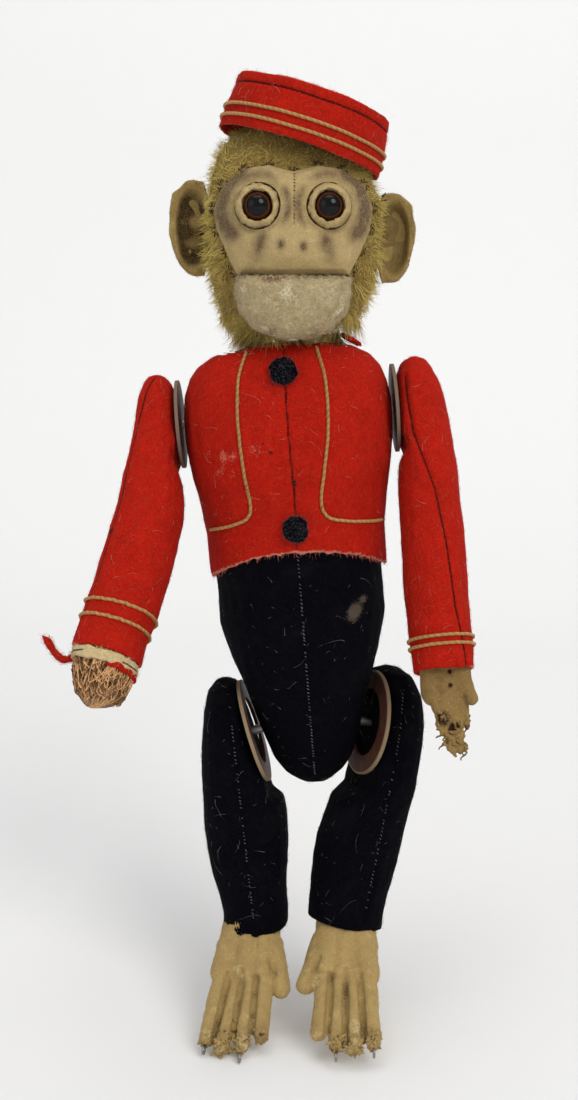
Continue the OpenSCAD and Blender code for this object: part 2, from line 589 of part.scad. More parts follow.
module muzzle() {
    line = outline_of(MUZZLE_HALF);
    bulge = 9;
    front = function (x, z, t) head_y(x * 0.8, max(z, 64)) - 2.2 - bulge * pow(1 - pow(t, 3), 0.5);
    back = function (x, z, t) head_y(x, max(z, 60)) - 0.5;
    color("antiquewhite") loft(plate_rings(line, [0, 61.5], front, back, [0.1, 0.4, 0.7, 0.9, 1]));
}

lid_r = 6.8;
eye_front_y = -26.4;
module at_eye(s) { translate([s * eye_x, eye_front_y, eye_z]) rotate([90, 0, 0]) children(); }

// Dome of glass with a flat back
module eye() {
    back_plane = 2.6;
    translate([0, 0, -eye_d / 2 + 1.2]) intersection() {
        sphere(r = eye_d / 2, $fn = 48);
        translate([-eye_d, -eye_d, -back_plane + eye_d / 2 - 1.2 - 1.4]) cube([2 * eye_d, 2 * eye_d, eye_d]);
    }
}
module eye_right() { color("#3a1d10") at_eye(-1) eye(); }
module eye_left() { color("#3a1d10") at_eye(1) eye(); }

module eyelid() {
    translate([0, 0, -3.6]) difference() {
        cylinder(r = lid_r, h = 4, $fn = 40);
        translate([0, 0, -1]) cylinder(r = eye_d / 2 + 0.15, h = 6, $fn = 40);
    }
}
module eyelid_right() { color("tan") at_eye(-1) eyelid(); }
module eyelid_left() { color("tan") at_eye(1) eyelid(); }

// Folded felt ear: a shallow cup that stands out from the head's side
EAR_HALF = [[-1, 16], [5, 15.6], [9.6, 11.6], [11, 5], [10.6, -2], [8.6, -9], [4.6, -14], [-1, -15.6]];
module ear() {
    line = concat([for (p = EAR_HALF) p], [[-2.2, -9], [-2.4, 0], [-2.2, 9]]);
    ccw = [for (i = [len(line) - 1 : -1 : 0]) line[i]];
    front = function (x, z, t) 1.6 - 2.6 * (1 - t * t) * -1 - 1.2;
    back = function (x, z, t) 1.6 + 2.6 * (1 - t * t) + 1.4;
    loft(plate_rings(ccw, [4.4, 0], front, back, [0.15, 0.55, 0.85, 1]));
}
module ear_right() { color("tan") translate([-30.8, 1, 87.4]) mirror([1, 0, 0]) ear(); }
module ear_left() { color("tan") translate([30.8, 1, 84]) scale(0.94) ear(); }

// ---- hat ---------------------------------------------------------------------------------

hat_at = [1.6, 2, 112.1];
module at_hat() { translate(hat_at) rotate([0, hat_tilt, 0]) children(); }
function hat_r(h) = mix(hat_r_low, hat_r_top, h / hat_h);

module hat_band() {
    color("firebrick") at_hat() rotate_extrude($fn = 64)
        polygon([[hat_r_low - felt, 0], [hat_r_low, 0], [hat_r_top, hat_h], [hat_r_top - felt, hat_h]]);
}

module hat_top() {
    color("firebrick") at_hat() translate([0, 0, hat_h - felt]) cylinder(r = hat_r_top - felt - 0.1, h = felt, $fn = 64);
}

module hat_cords() {
    color("goldenrod") at_hat() for (h = [3.6, 7.2]) translate([0, 0, h])
        rotate_extrude($fn = 64) translate([hat_r(h) + braid_r + 0.03, 0]) circle(r = braid_r, $fn = 16);
}

// ---- arms --------------------------------------------------------------------------------

// Felt sleeve: closed over the shoulder, open at the cuff
module sleeve(rows, s) {
    top = rows[0][0];
    fine = refined(rows, 2);
    low = rows[len(rows) - 1][0];
    at_arm(s) difference() {
        skin([for (q = fine) limb_ring(q, 0)],
            [for (q = fine) [for (p = limb_ring(q, felt)) [p[0], p[1], p[2] - felt * (q[0] - low) / (top - low)]]],
            false, true);
        x_rod(pin_r + gap, 30, 44);
    }
}
module sleeve_right() { color("firebrick") sleeve(ARM_RIGHT, -1); }
module sleeve_left() { color("firebrick") sleeve(ARM_LEFT, 1); }

// Filling of a limb, kept clear of the skin and cut away round the joint disc
module filling(rows, stump, inset, low, disc_x0) {
    fine = [for (q = refined(rows, 2)) if (q[0] > low) q];
    difference() {
        loft(concat([for (q = fine) [for (p = limb_ring(q, inset)) [p[0], p[1], p[2] - (q[0] > 0 ? inset * 1.2 : 0)]]],
            [for (q = stump) limb_ring(q, 0.8)]));
        x_rod(13.4, disc_x0 - 30, disc_x0);
        x_rod(pin_r + 0.6, disc_x0 - 5, disc_x0 + 6);
        // Room for the pin's spread end as the limb turns round it
        x_rod(5.4, disc_x0 - 0.5, disc_x0 + 2.6);
    }
}

module wood_wool_right() {
    stump = [[-81, 53.2, 73.6, 11.2, 11.2, 0, 19], [-88, 55.6, 75, 10.2, 10.2, 0, 19],
        [-95, 59, 74.6, 8, 8, 0, 19], [-99, 63, 72.4, 4, 4, 0, 19]];
    color("burlywood") at_arm(-1) filling(ARM_RIGHT, stump, felt + gap, -80, arm_disc_x + disc_t + gap);
}

module cuff_hem_right() {
    rows = [[-81.4, 52.6, 74.4, 12.1, 12.1, 0, 19], [-84.8, 53.8, 75.6, 11.9, 11.9, 0, 19]];
    color("antiquewhite") at_arm(-1) skin([for (q = rows) limb_ring(q, 0)], [for (q = rows) limb_ring(q, felt)],
        true, true);
}

module cuff_cords(rows, s, heights) {
    color("goldenrod") at_arm(s) for (z = heights) loop_cord(limb_ring(row_at(rows, z), -braid_r - 0.05), braid_r);
}
module cuff_cords_right() { cuff_cords(ARM_RIGHT, -1, [-66.5, -71.5]); }
module cuff_cords_left() { cuff_cords(ARM_LEFT, 1, [-80.5, -83.2]); }

arm_disc_x = 39.6;
module arm_disc(s) { color("dimgray") at_arm(s) x_ring(10.2, pin_r + run, arm_disc_x, arm_disc_x + disc_t); }
module arm_washer(s) { color("#2a2624") at_arm(s) x_ring(washer_r, pin_r + run, washer_x, washer_x + washer_t); }
module arm_disc_right() { arm_disc(-1); }
module arm_disc_left() { arm_disc(1); }
module arm_washer_right() { arm_washer(-1); }
module arm_washer_left() { arm_washer(1); }

module stuffing_left() {
    color("burlywood") at_arm(1) filling(ARM_LEFT, [], felt + gap, -76, arm_disc_x + disc_t + gap);
}

// Soft bar between two round ends, for palms, fingers and toes
module bar(a, ra, b, rb) {
    hull() {
        translate(a) sphere(r = ra, $fn = 14);
        translate(b) sphere(r = rb, $fn = 14);
    }
}

// Decayed felt hand that droops out of the left cuff
module hand_left() {
    palm_x = [41.2, 48.6];
    tips = [[41.8, -5, -111, 1.8], [44.4, -6, -116.5, 1.8], [47.2, -5.4, -116, 1.7], [49.6, -3, -108, 1.8]];
    color("tan") at_arm(1) union() {
        bar([palm_x[0], -1, -84.5], 4.8, [palm_x[1], -1, -84.5], 4.8);
        bar([palm_x[0], -1, -84.5], 4.8, [palm_x[0] - 0.4, -2, -98], 4.2);
        bar([palm_x[1], -1, -84.5], 4.8, [palm_x[1] + 0.6, -2, -98], 4.2);
        bar([45, -1, -84.5], 5.2, [44.9, -2, -99], 5);
        bar([palm_x[0], -2, -92], 4.2, [palm_x[1], -2, -92], 4.2);
        for (t = tips) bar([mix(45, t[0], 0.9), -2.6, -98], 3, [t[0], t[1], t[2]], t[3]);
        bar([50, -2, -92], 3, [52.6, -5, -101], 2.2);
    }
}

// ---- legs --------------------------------------------------------------------------------

module trouser_leg(rows, s) {
    top = rows[0][0];
    low = rows[len(rows) - 1][0];
    fine = refined(rows, 2);
    color("#14151d") at_hip(s) difference() {
        skin([for (q = fine) limb_ring(q, 0)],
            [for (q = fine) [for (p = limb_ring(q, felt)) [p[0], p[1], p[2] - felt * (q[0] - low) / (top - low)]]],
            false, true);
        x_rod(pin_r + gap, -6, 4);
    }
}
module trouser_leg_right() { trouser_leg(LEG_RIGHT, -1); }
module trouser_leg_left() { trouser_leg(LEG_LEFT, 1); }

module leg_stuffing(rows, s) { color("burlywood") at_hip(s) filling(rows, [], felt + 2 * gap, -61, 3.6); }
module leg_stuffing_right() { leg_stuffing(LEG_RIGHT, -1); }
module leg_stuffing_left() { leg_stuffing(LEG_LEFT, 1); }

module leg_disc(s) { color("dimgray") at_hip(s) x_ring(12, pin_r + run, 1.8, 1.8 + disc_t); }
module leg_disc_right() { leg_disc(-1); }
module leg_disc_left() { leg_disc(1); }

module hip_ring(s) { color("saddlebrown") at_hip(s) x_ring(ring_r, ring_hole_r, -0.3 - ring_t, -0.3); }
module hip_ring_right() { hip_ring(-1); }
module hip_ring_left() { hip_ring(1); }

// Hand-like foot seen from above: toes towards -Y, thumb on the inner side (-X)
module foot_shape() {
    bases = [-7.2, -2.4, 2.6, 7.4];
    tips = [[-8.6, -42], [-2.8, -46], [3.4, -47], [9.4, -44.5]];
    palm = 5;
    for (y = [-2.4, 3.4]) bar([-1.6, y, 3], 7.4, [1.6, y, 3], 7.4);
    bar([-4, 2, 1], 6.2, [-6.6, -19, 0], palm);
    bar([4, 2, 1], 6.2, [6.8, -21, 0], palm);
    bar([0, 3, 1], 7, [0, -21, 0], palm + 0.2);
    bar([-6.6, -11, 0], palm, [6.6, -11, 0], palm);
    for (i = [0 : 3]) bar([bases[i], -22, -0.4], 3.1, [tips[i][0], tips[i][1], -1], 2.7);
    bar([-8, -9, 0], 4.2, [-13.4, -25, -1], 3.3);
}

// Two bare wire loops that show through the worn toes
module wire_shape() {
    for (p = [[-2.8, -50.2], [9.6, -48.6]]) translate([p[0], p[1], -1]) rotate([0, 90, 0])
        rotate_extrude($fn = 32) translate([1.3, 0]) circle(r = 0.45, $fn = 16);
}

// Where each foot leaves its trouser leg, its level and its turn from the leg's own plane
foot_root_right = [19.6, -1, -65];
foot_root_left = [3.4, -1, -69.6];
foot_turn_right = 8;
foot_turn_left = -21;
module at_foot(s) {
    level = s < 0 ? -hip_slope_right - lean : lean - hip_slope_left;
    at_hip(s) translate(s < 0 ? foot_root_right : foot_root_left) rotate([leg_swing, 0, 0]) rotate([0, level, 0])
        rotate([0, 0, s < 0 ? foot_turn_right : foot_turn_left]) rotate([foot_slope, 0, 0]) children();
}

// The foot ends where the trouser leg is sewn round it
module foot(rows, s) {
    color("tan") difference() {
        at_foot(s) foot_shape();
        at_hip(s) loft([for (q = refined(rows, 2)) limb_ring(q, -run)]);
    }
}
module foot_right() { foot(LEG_RIGHT, -1); }
module foot_left() { foot(LEG_LEFT, 1); }
module foot_wires_right() { color("silver") at_foot(-1) wire_shape(); }
module foot_wires_left() { color("silver") at_foot(1) wire_shape(); }

jacket();
trouser_seat();
torso_stuffing();
frame_tube();
neck_plate();
lower_bearing();
collar_stub();
lapel_cord_right();
lapel_cord_left();
jacket_buttons();
shoulder_discs();
shoulder_pins();
hip_discs();
hip_pins();
head_shaft();
shaft_collar();
swivel_disc();
nod_rod();
skull_plush();
head_stuffing();
head_bracket();
nod_axle();
face();
muzzle();
eye_right();
eye_left();
eyelid_right();
eyelid_left();
ear_right();
ear_left();
hat_band();
hat_top();
hat_cords();
sleeve_right();
wood_wool_right();
cuff_hem_right();
cuff_cords_right();
arm_disc_right();
arm_washer_right();
sleeve_left();
stuffing_left();
cuff_cords_left();
arm_disc_left();
arm_washer_left();
hand_left();
trouser_leg_right();
leg_stuffing_right();
leg_disc_right();
hip_ring_right();
foot_right();
foot_wires_right();
trouser_leg_left();
leg_stuffing_left();
leg_disc_left();
hip_ring_left();
foot_left();
foot_wires_left();
tail_lever();
tail_plush();
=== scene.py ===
"""Dresses the plain frame of a jointed page-boy monkey toy in felt, mohair, wood wool, braid and steel."""
import json
import math

import bmesh
import bpy
import numpy as np
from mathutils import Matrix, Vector
from mathutils.bvhtree import BVHTree


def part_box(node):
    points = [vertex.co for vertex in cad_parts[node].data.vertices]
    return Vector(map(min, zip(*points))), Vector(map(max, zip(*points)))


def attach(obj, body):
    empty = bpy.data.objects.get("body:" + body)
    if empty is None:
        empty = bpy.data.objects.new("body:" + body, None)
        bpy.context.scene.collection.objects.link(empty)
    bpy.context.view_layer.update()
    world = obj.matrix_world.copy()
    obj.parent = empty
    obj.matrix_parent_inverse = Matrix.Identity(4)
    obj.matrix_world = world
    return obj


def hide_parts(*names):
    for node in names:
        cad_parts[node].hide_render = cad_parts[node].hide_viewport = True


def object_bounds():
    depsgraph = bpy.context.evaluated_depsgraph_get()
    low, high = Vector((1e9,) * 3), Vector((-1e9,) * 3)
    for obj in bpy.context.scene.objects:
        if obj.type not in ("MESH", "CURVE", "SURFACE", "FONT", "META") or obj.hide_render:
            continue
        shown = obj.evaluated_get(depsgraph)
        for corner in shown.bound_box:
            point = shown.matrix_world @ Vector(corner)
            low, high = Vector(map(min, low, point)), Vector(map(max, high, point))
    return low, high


bl_info = {
    "name": "Page-boy monkey toy",
    "version": (1, 0, 0),
    "blender": (4, 5, 0),
    "location": "3D View > Sidebar > Monkey",
    "description": "Builds the felt, mohair, braid and steel of a jointed page-boy monkey toy",
    "category": "Object",
}

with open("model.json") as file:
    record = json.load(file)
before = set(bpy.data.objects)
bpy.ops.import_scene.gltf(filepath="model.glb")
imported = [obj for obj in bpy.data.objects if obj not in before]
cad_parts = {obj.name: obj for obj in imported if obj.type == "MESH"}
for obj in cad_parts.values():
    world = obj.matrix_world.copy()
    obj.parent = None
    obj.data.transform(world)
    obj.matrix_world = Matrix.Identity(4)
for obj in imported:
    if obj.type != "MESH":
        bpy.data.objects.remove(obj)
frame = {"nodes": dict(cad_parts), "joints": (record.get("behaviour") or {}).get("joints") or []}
FRAME_BOX = [list(corner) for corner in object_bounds()]
MM = 0.001
JOINTS = {joint["name"]: joint for joint in frame["joints"]}

# The torso leans a little, and its own up and across directions come from the neck shaft
UP = np.array(JOINTS["head_turn"]["axis"])
ACROSS = np.array([UP[2], 0.0, -UP[0]])
FRONT = np.array([0.0, -1.0, 0.0])

# Search rays start this far in front of the toy and go straight back
BEFORE_TOY = -0.09
STRAIGHT_BACK = Vector((0, 1, 0))
# Strands of pile in one piece, few enough for the export to keep every face
MOST_STRANDS = 7800
FRINGE_STRANDS = 4600
FRINGE_LENGTH = 0.0068
WHOLE_TURN = 6.28


# ---- points, skins and marks ---------------------------------------------------------------


def lumps(points, size, seed):
    """A smooth random height from about -1 to 1 at each point, in lumps of about that size."""
    pick = np.random.default_rng(seed)
    waves = 20
    way = pick.normal(size=(waves, 3))
    way /= np.linalg.norm(way, axis=1)[:, None]
    pitch = 2 * math.pi / (size * pick.uniform(0.8, 2.2, waves))
    start = pick.uniform(0, 2 * math.pi, waves)
    high = np.sin(points @ (way * pitch[:, None]).T + start).mean(1)
    return np.clip(high * 3.0, -1.3, 1.3)


def fade(value, low, high):
    """0 below low, 1 above high, and smooth between them."""
    part = np.clip((value - low) / (high - low), 0, 1)
    return part * part * (3 - 2 * part)


def spot(distance, size):
    """1 at the middle of a spot, falling smoothly to 0 outside it."""
    return np.exp(-((distance / size) ** 2))


def points_of(piece):
    """The piece's points, one row each."""
    rows = np.empty(len(piece.data.vertices) * 3)
    piece.data.vertices.foreach_get("co", rows)
    return rows.reshape(-1, 3)


def facing_of(piece):
    """Which way the skin faces at each of the piece's points."""
    rows = np.empty(len(piece.data.vertices) * 3)
    piece.data.vertices.foreach_get("normal", rows)
    return rows.reshape(-1, 3)


def put(piece, points):
    """Moves the piece's points there."""
    piece.data.vertices.foreach_set("co", np.ascontiguousarray(points, float).ravel())
    piece.data.update()


def mark(piece, name, values):
    """Keeps a number from 0 to 1 at each point, for the piece's material to read."""
    layer = piece.data.attributes.get(name) or piece.data.attributes.new(name, "FLOAT", "POINT")
    layer.data.foreach_set("value", np.clip(np.asarray(values, float), 0, 1))


def made(name, points, faces, material, smooth=True):
    """A new object with that mesh and material."""
    mesh = bpy.data.meshes.new(name)
    mesh.from_pydata(np.asarray(points).tolist(), [], np.asarray(faces).tolist())
    mesh.validate()
    if smooth:
        mesh.polygons.foreach_set("use_smooth", [True] * len(mesh.polygons))
    mesh.update()
    piece = bpy.data.objects.new(name, mesh)
    bpy.context.scene.collection.objects.link(piece)
    if material:
        mesh.materials.append(material)
    return piece


def recut(node, name, step, ease=8, material=None):
    """A finely meshed copy of a frame node, ready for its lumps, seams and wear."""
    mesh = frame["nodes"][node].data.copy()
    work = bmesh.new()
    work.from_mesh(mesh)
    bmesh.ops.remove_doubles(work, verts=work.verts, dist=0.00001)
    work.to_mesh(mesh)
    work.free()
    piece = bpy.data.objects.new(name, mesh)
    bpy.context.scene.collection.objects.link(piece)
    net = piece.modifiers.new("net", "REMESH")
    net.mode = "VOXEL"
    net.voxel_size = step
    net.use_smooth_shade = True
    soft = piece.modifiers.new("soft", "SMOOTH")
    soft.factor = 0.5
    soft.iterations = ease
    graph = bpy.context.evaluated_depsgraph_get()
    fine = bpy.data.meshes.new_from_object(piece.evaluated_get(graph))
    piece.modifiers.clear()
    piece.data = fine
    fine.name = name
    bpy.data.meshes.remove(mesh)
    fine.materials.clear()
    if material:
        fine.materials.append(material)
    return piece


def swell(piece, *coats):
    """Pushes the skin in or out by the sum of the heights given, each an array in metres."""
    put(piece, points_of(piece) + facing_of(piece) * sum(coats)[:, None])


def tree_of(piece):
    """A search tree of the piece's faces."""
    faces = [tuple(face.vertices) for face in piece.data.polygons]
    return BVHTree.FromPolygons(points_of(piece).tolist(), faces)


class Core:
    """The middle line of a stuffed piece, from which the skin round it is found."""

    def __init__(self, piece, start, end, front=FRONT):
        self.tree = tree_of(piece)
        self.start = np.array(start, float)
        self.axis = np.array(end, float) - self.start
        self.length = float(np.linalg.norm(self.axis))
        self.axis /= self.length
        flat = np.array(front, float) - self.axis * np.dot(front, self.axis)
        self.front = flat / np.linalg.norm(flat)
        self.side = np.cross(self.front, self.axis)
        if self.side[0] < 0:
            self.side = -self.side

    def skin(self, along, turn, lift=0.0):
        """The skin's point that far down the line, turned from the front to the viewer's right."""
        angle = math.radians(turn)
        way = self.front * math.cos(angle) + self.side * math.sin(angle)
        base = self.start + self.axis * along
        hit, facing, _, _ = self.tree.ray_cast(Vector(base + way * 0.09), Vector(-way))
        if hit is None:
            return None, None
        facing = np.array(facing)
        return np.array(hit) + facing * lift, facing


def seam_on(core, spots, steps, lift=0.0):
    """Points and facings of the skin along a line of (part of the length, turn) spots."""
    parts = [part for part, _ in spots]
    turns = [turn for _, turn in spots]
    found = []
    for t in np.linspace(parts[0], parts[-1], steps):
        point, facing = core.skin(t * core.length, float(np.interp(t, parts, turns)), lift)
        if point is not None:
            found.append((point, facing))
    return found


def far_from_line(points, line):
    """How far each point is from a line of closely set points."""
    line = np.asarray(line)
    best = np.full(len(points), 1e9)
    for start in range(0, len(line), 16):
        part = line[start : start + 16]
        gap = np.linalg.norm(points[:, None, :] - part[None, :, :], axis=2).min(1)
        best = np.minimum(best, gap)
    return best


def even(path, step):
    """The same open path with points at an even distance."""
    path = np.asarray(path, float)
    run = np.concatenate([[0], np.cumsum(np.linalg.norm(np.diff(path, axis=0), axis=1))])
    count = max(3, int(round(run[-1] / step)) + 1)
    where = np.linspace(0, run[-1], count)
    return np.stack([np.interp(where, run, path[:, k]) for k in range(3)], 1)


def threads(name, paths, radius, material, sides=3, tones=None, flat=1.0):
    """One mesh of many thin threads: paths is (threads, points, 3), radius the same without the 3."""
    paths = np.asarray(paths, float)
    count, steps, _ = paths.shape
    radius = np.broadcast_to(np.asarray(radius, float), (count, steps))
    along = np.gradient(paths, axis=1)
    along /= np.linalg.norm(along, axis=2)[:, :, None] + 1e-12
    guide = np.where(np.abs(along[:, :, 2:3]) < 0.9, [[[0.0, 0.0, 1.0]]], [[[1.0, 0.0, 0.0]]])
    one = np.cross(along, guide)
    one /= np.linalg.norm(one, axis=2)[:, :, None] + 1e-12
    two = np.cross(along, one)
    angle = 2 * math.pi * np.arange(sides) / sides
    ring = one[:, :, None, :] * np.cos(angle)[None, None, :, None]
    ring = ring + two[:, :, None, :] * np.sin(angle)[None, None, :, None] * flat
    points = (paths[:, :, None, :] + ring * radius[:, :, None, None]).reshape(-1, 3)
    corner = np.arange(count * steps * sides).reshape(count, steps, sides)
    low = corner[:, :-1, :]
    high = corner[:, 1:, :]
    faces = np.stack([low, np.roll(low, -1, 2), np.roll(high, -1, 2), high], 3).reshape(-1, 4)
    piece = made(name, points, faces, material)
    if tones is not None:
        mark(piece, "tone", np.repeat(tones, steps * sides))
    return piece


def taper(steps, tip=0.15, root=1.0):
    """How thick a thread is along itself, thin at its tip."""
    t = np.linspace(0, 1, steps)
    return root + (tip - root) * t**1.5


def outer_spots(piece, count, seed, keep=None, reach=0.02):
    """Random points of the piece's outside, with their facings, clear of its other parts."""
    pick = np.random.default_rng(seed)
    mesh = piece.data
    mesh.calc_loop_triangles()
    corners = np.empty(len(mesh.loop_triangles) * 3, np.int64)
    mesh.loop_triangles.foreach_get("vertices", corners)
    corners = corners.reshape(-1, 3)
    at = points_of(piece)
    a, b, c = at[corners[:, 0]], at[corners[:, 1]], at[corners[:, 2]]
    cross = np.cross(b - a, c - a)
    area = np.linalg.norm(cross, axis=1)
    if keep is not None:
        area = area * keep((a + b + c) / 3, cross / (area[:, None] + 1e-15))
    chance = area / area.sum()
    chosen = pick.choice(len(area), size=int(count * 1.6), p=chance)
    u, v = pick.random(len(chosen)), pick.random(len(chosen))
    over = u + v > 1
    u[over], v[over] = 1 - u[over], 1 - v[over]
    spots = a[chosen] + (b - a)[chosen] * u[:, None] + (c - a)[chosen] * v[:, None]
    facing = cross[chosen] / (area[chosen][:, None] + 1e-15)
    facing /= np.linalg.norm(facing, axis=1)[:, None] + 1e-12
    tree = tree_of(piece)
    open_air = []
    for k in range(len(spots)):
        hit = tree.ray_cast(Vector(spots[k] + facing[k] * 0.0002), Vector(facing[k]), reach)
        if hit[0] is None:
            open_air.append(k)
        if len(open_air) == count:
            break
    return spots[open_air], facing[open_air]


def fuzz(name, piece, count, length, thick, material, seed, lift=0.35, keep=None, curl=0.6, steps=5):
    """Loose fibres lying on a felt skin."""
    spots, facing = outer_spots(piece, count, seed, keep)
    pick = np.random.default_rng(seed + 1)
    n = len(spots)
    way = np.cross(facing, pick.normal(size=(n, 3)))
    way /= np.linalg.norm(way, axis=1)[:, None]
    side = np.cross(facing, way)
    reach = length * pick.uniform(0.4, 1.3, n)
    bend = pick.normal(0, curl, n)
    t = np.linspace(0, 1, steps)
    paths = spots[:, None, :] + way[:, None, :] * (t[None, :, None] * reach[:, None, None])
    paths = paths + side[:, None, :] * (bend * reach)[:, None, None] * (t**2)[None, :, None]
    rise = lift * reach * pick.uniform(0.2, 1.0, n)
    hump = np.sin(t * math.pi * 0.85)
    paths = paths + facing[:, None, :] * (rise[:, None] * hump[None, :] + 0.00005)[:, :, None]
    return threads(name, paths, thick * taper(steps)[None, :], material, 3, pick.random(n))


def stitched(name, line, pitch, size, thick, material, slant=0.0, skip=0.0, seed=1, lift=0.0):
    """Small thread stitches along a seam: line is the (point, facing) pairs of the seam."""
    pick = np.random.default_rng(seed)
    points = np.array([p for p, _ in line])
    faces = np.array([f for _, f in line])
    run = np.concatenate([[0], np.cumsum(np.linalg.norm(np.diff(points, axis=0), axis=1))])
    where = np.arange(pitch, run[-1] - pitch, pitch)
    where = where + pick.normal(0, pitch * 0.08, len(where))
    if skip:
        where = where[pick.random(len(where)) > skip]
    at = np.stack([np.interp(where, run, points[:, k]) for k in range(3)], 1)
    up = np.stack([np.interp(where, run, faces[:, k]) for k in range(3)], 1)
    up /= np.linalg.norm(up, axis=1)[:, None]
    ahead = np.stack([np.interp(where + 0.0003, run, points[:, k]) for k in range(3)], 1) - at
    ahead /= np.linalg.norm(ahead, axis=1)[:, None] + 1e-12
    side = np.cross(up, ahead)
    turn = np.radians(slant + pick.normal(0, 9, len(at)))
    way = ahead * np.cos(turn)[:, None] + side * np.sin(turn)[:, None]
    t = np.linspace(-0.5, 0.5, 5)
    paths = at[:, None, :] + way[:, None, :] * (t * size)[None, :, None]
    arch = (0.25 - t**2) * thick * 5
    paths = paths + up[:, None, :] * (arch + lift - thick * 0.2)[None, :, None]
    return threads(name, paths, thick, material, 5, pick.random(len(at)))


def twisted(name, path, radius, pitch, material, strands=3, closed=False):
    """A cord of strands twisted round each other along a path."""
    path = np.asarray(path, float)
    if closed:
        path = np.concatenate([path, path[:1]])
    path = even(path, radius * 0.45)
    along = np.gradient(path, axis=0)
    if closed:
        along[0] = along[-1] = path[1] - path[-2]
    along /= np.linalg.norm(along, axis=1)[:, None]
    middle = path.mean(0)
    out = path - middle
    if np.abs(np.linalg.norm(out, axis=1)).max() < 1e-6:
        out = np.tile([0.0, -1.0, 0.0], (len(path), 1))
    out = out - along * np.sum(out * along, axis=1)[:, None]
    out /= np.linalg.norm(out, axis=1)[:, None] + 1e-12
    side = np.cross(along, out)
    run = np.concatenate([[0], np.cumsum(np.linalg.norm(np.diff(path, axis=0), axis=1))])
    turns = run[-1] / pitch
    if closed:
        turns = max(1, round(turns))
    angle = 2 * math.pi * turns * run / run[-1]
    lays = []
    for k in range(strands):
        a = angle + 2 * math.pi * k / strands
        lays.append(path + (out * np.cos(a)[:, None] + side * np.sin(a)[:, None]) * radius * 0.52)
    tones = np.linspace(0.2, 0.8, strands)
    return threads(name, lays, radius * 0.52, material, 6, tones)


def laid_on(line, skin, lift):
    """The line laid on a skin, lifted off it by that much."""
    tree = tree_of(skin)
    laid = []
    for p in line:
        near, facing, _, _ = tree.find_nearest(Vector(p))
        laid.append(np.array(near) + np.array(facing) * lift)
    return np.array(laid)


def islands(node):
    """The separate lumps of points of a frame node, in the order of its mesh."""
    work = bmesh.new()
    work.from_mesh(frame["nodes"][node].data)
    bmesh.ops.remove_doubles(work, verts=work.verts, dist=0.00001)
    left = dict.fromkeys(work.verts)
    groups = []
    while left:
        queue = [next(iter(left))]
        del left[queue[0]]
        group = []
        while queue:
            vert = queue.pop()
            group.append(list(vert.co))
            for edge in vert.link_edges:
                other = edge.other_vert(vert)
                if other in left:
                    del left[other]
                    queue.append(other)
        groups.append(np.array(group))
    work.free()
    return groups


def ring_line(points, count=72):
    """The middle line of a closed ring of cord, from its own points."""
    middle = points.mean(0)
    _, _, ways = np.linalg.svd(points - middle, full_matrices=False)
    u = (points - middle) @ ways[0]
    v = (points - middle) @ ways[1]
    angle = np.arctan2(v, u)
    line = []
    for a in np.linspace(-math.pi, math.pi, count, endpoint=False):
        off = (angle - a + math.pi) % (2 * math.pi) - math.pi
        share = np.exp(-((off / 0.09) ** 2)) + 1e-9
        line.append((points * share[:, None]).sum(0) / share.sum())
    return np.array(line)


# ---- colours and materials -----------------------------------------------------------------


def colour_prop(name, about, colour):
    """A colour that a user may change."""
    return bpy.props.FloatVectorProperty(
        name=name, description=about, default=colour, size=3, subtype="COLOR", min=0.0, max=1.0
    )


def length_prop(name, about, size):
    """A length that a user may change."""
    return bpy.props.FloatProperty(
        name=name, description=about, default=size, min=0.0, unit="LENGTH", subtype="DISTANCE", precision=5
    )


class MonkeyColours(bpy.types.PropertyGroup):
    """Colours of the toy's cloths, threads and metals."""

    red_felt: colour_prop("Red felt", "Jacket, sleeves and hat", (0.48, 0.011, 0.004))
    black_felt: colour_prop("Black felt", "Trousers and buttons", (0.0015, 0.0015, 0.0034))
    tan_felt: colour_prop("Tan felt", "Face, ears, hand and feet", (0.52, 0.385, 0.175))
    muzzle_felt: colour_prop("Muzzle felt", "Rubbed felt of the muzzle", (0.56, 0.45, 0.25))
    airbrush: colour_prop("Airbrush", "Faded shading round the eyes", (0.098, 0.056, 0.036))
    mohair: colour_prop("Mohair", "Gold olive pile of the head", (0.64, 0.50, 0.135))
    mohair_dark: colour_prop("Matted mohair", "Brown matted pile", (0.12, 0.068, 0.015))
    cream: colour_prop("Cream felt", "Old hem inside the cuff", (0.66, 0.52, 0.28))
    braid: colour_prop("Braid", "Gold braid of the jacket, cuffs and hat", (0.42, 0.22, 0.065))
    wood_wool: colour_prop("Wood wool", "Stuffing that shows at the torn cuff", (0.62, 0.35, 0.16))
    enamel: colour_prop("Ring enamel", "Brown face of the hip rings", (0.070, 0.022, 0.012))
    steel: colour_prop("Steel", "Pins, wires and shafts", (0.42, 0.41, 0.40))
    board: colour_prop("Fibre board", "Joint discs", (0.16, 0.10, 0.055))
    iris: colour_prop("Iris", "Brown of the glass eyes", (0.10, 0.028, 0.012))
    floor: colour_prop("Floor", "Plain pale floor and backdrop", (0.84, 0.84, 0.84))


class MonkeySizes(bpy.types.PropertyGroup):
    """Sizes of the toy's stitches, pile and wear."""

    pile: length_prop("Pile", "Length of the mohair pile", 0.0040)
    tail_pile: length_prop("Tail pile", "Length of the tail's pile", 0.0026)
    stitch: length_prop("Stitch", "Distance between stitches", 0.0013)
    thread: length_prop("Thread", "Radius of the sewing thread", 0.00013)
    lint: length_prop("Lint", "Length of the lint hairs", 0.0060)
    lump: length_prop("Lumps", "Height of the stuffing's lumps under the felt", 0.00028)
    braid: length_prop("Braid", "Radius of the gold braid", 0.00058)
    shaving: length_prop("Shaving", "Radius of a strand of wood wool", 0.00027)
    strands: bpy.props.IntProperty(
        name="Pile strands", description="Number of mohair strands on the head", default=15500, min=100
    )


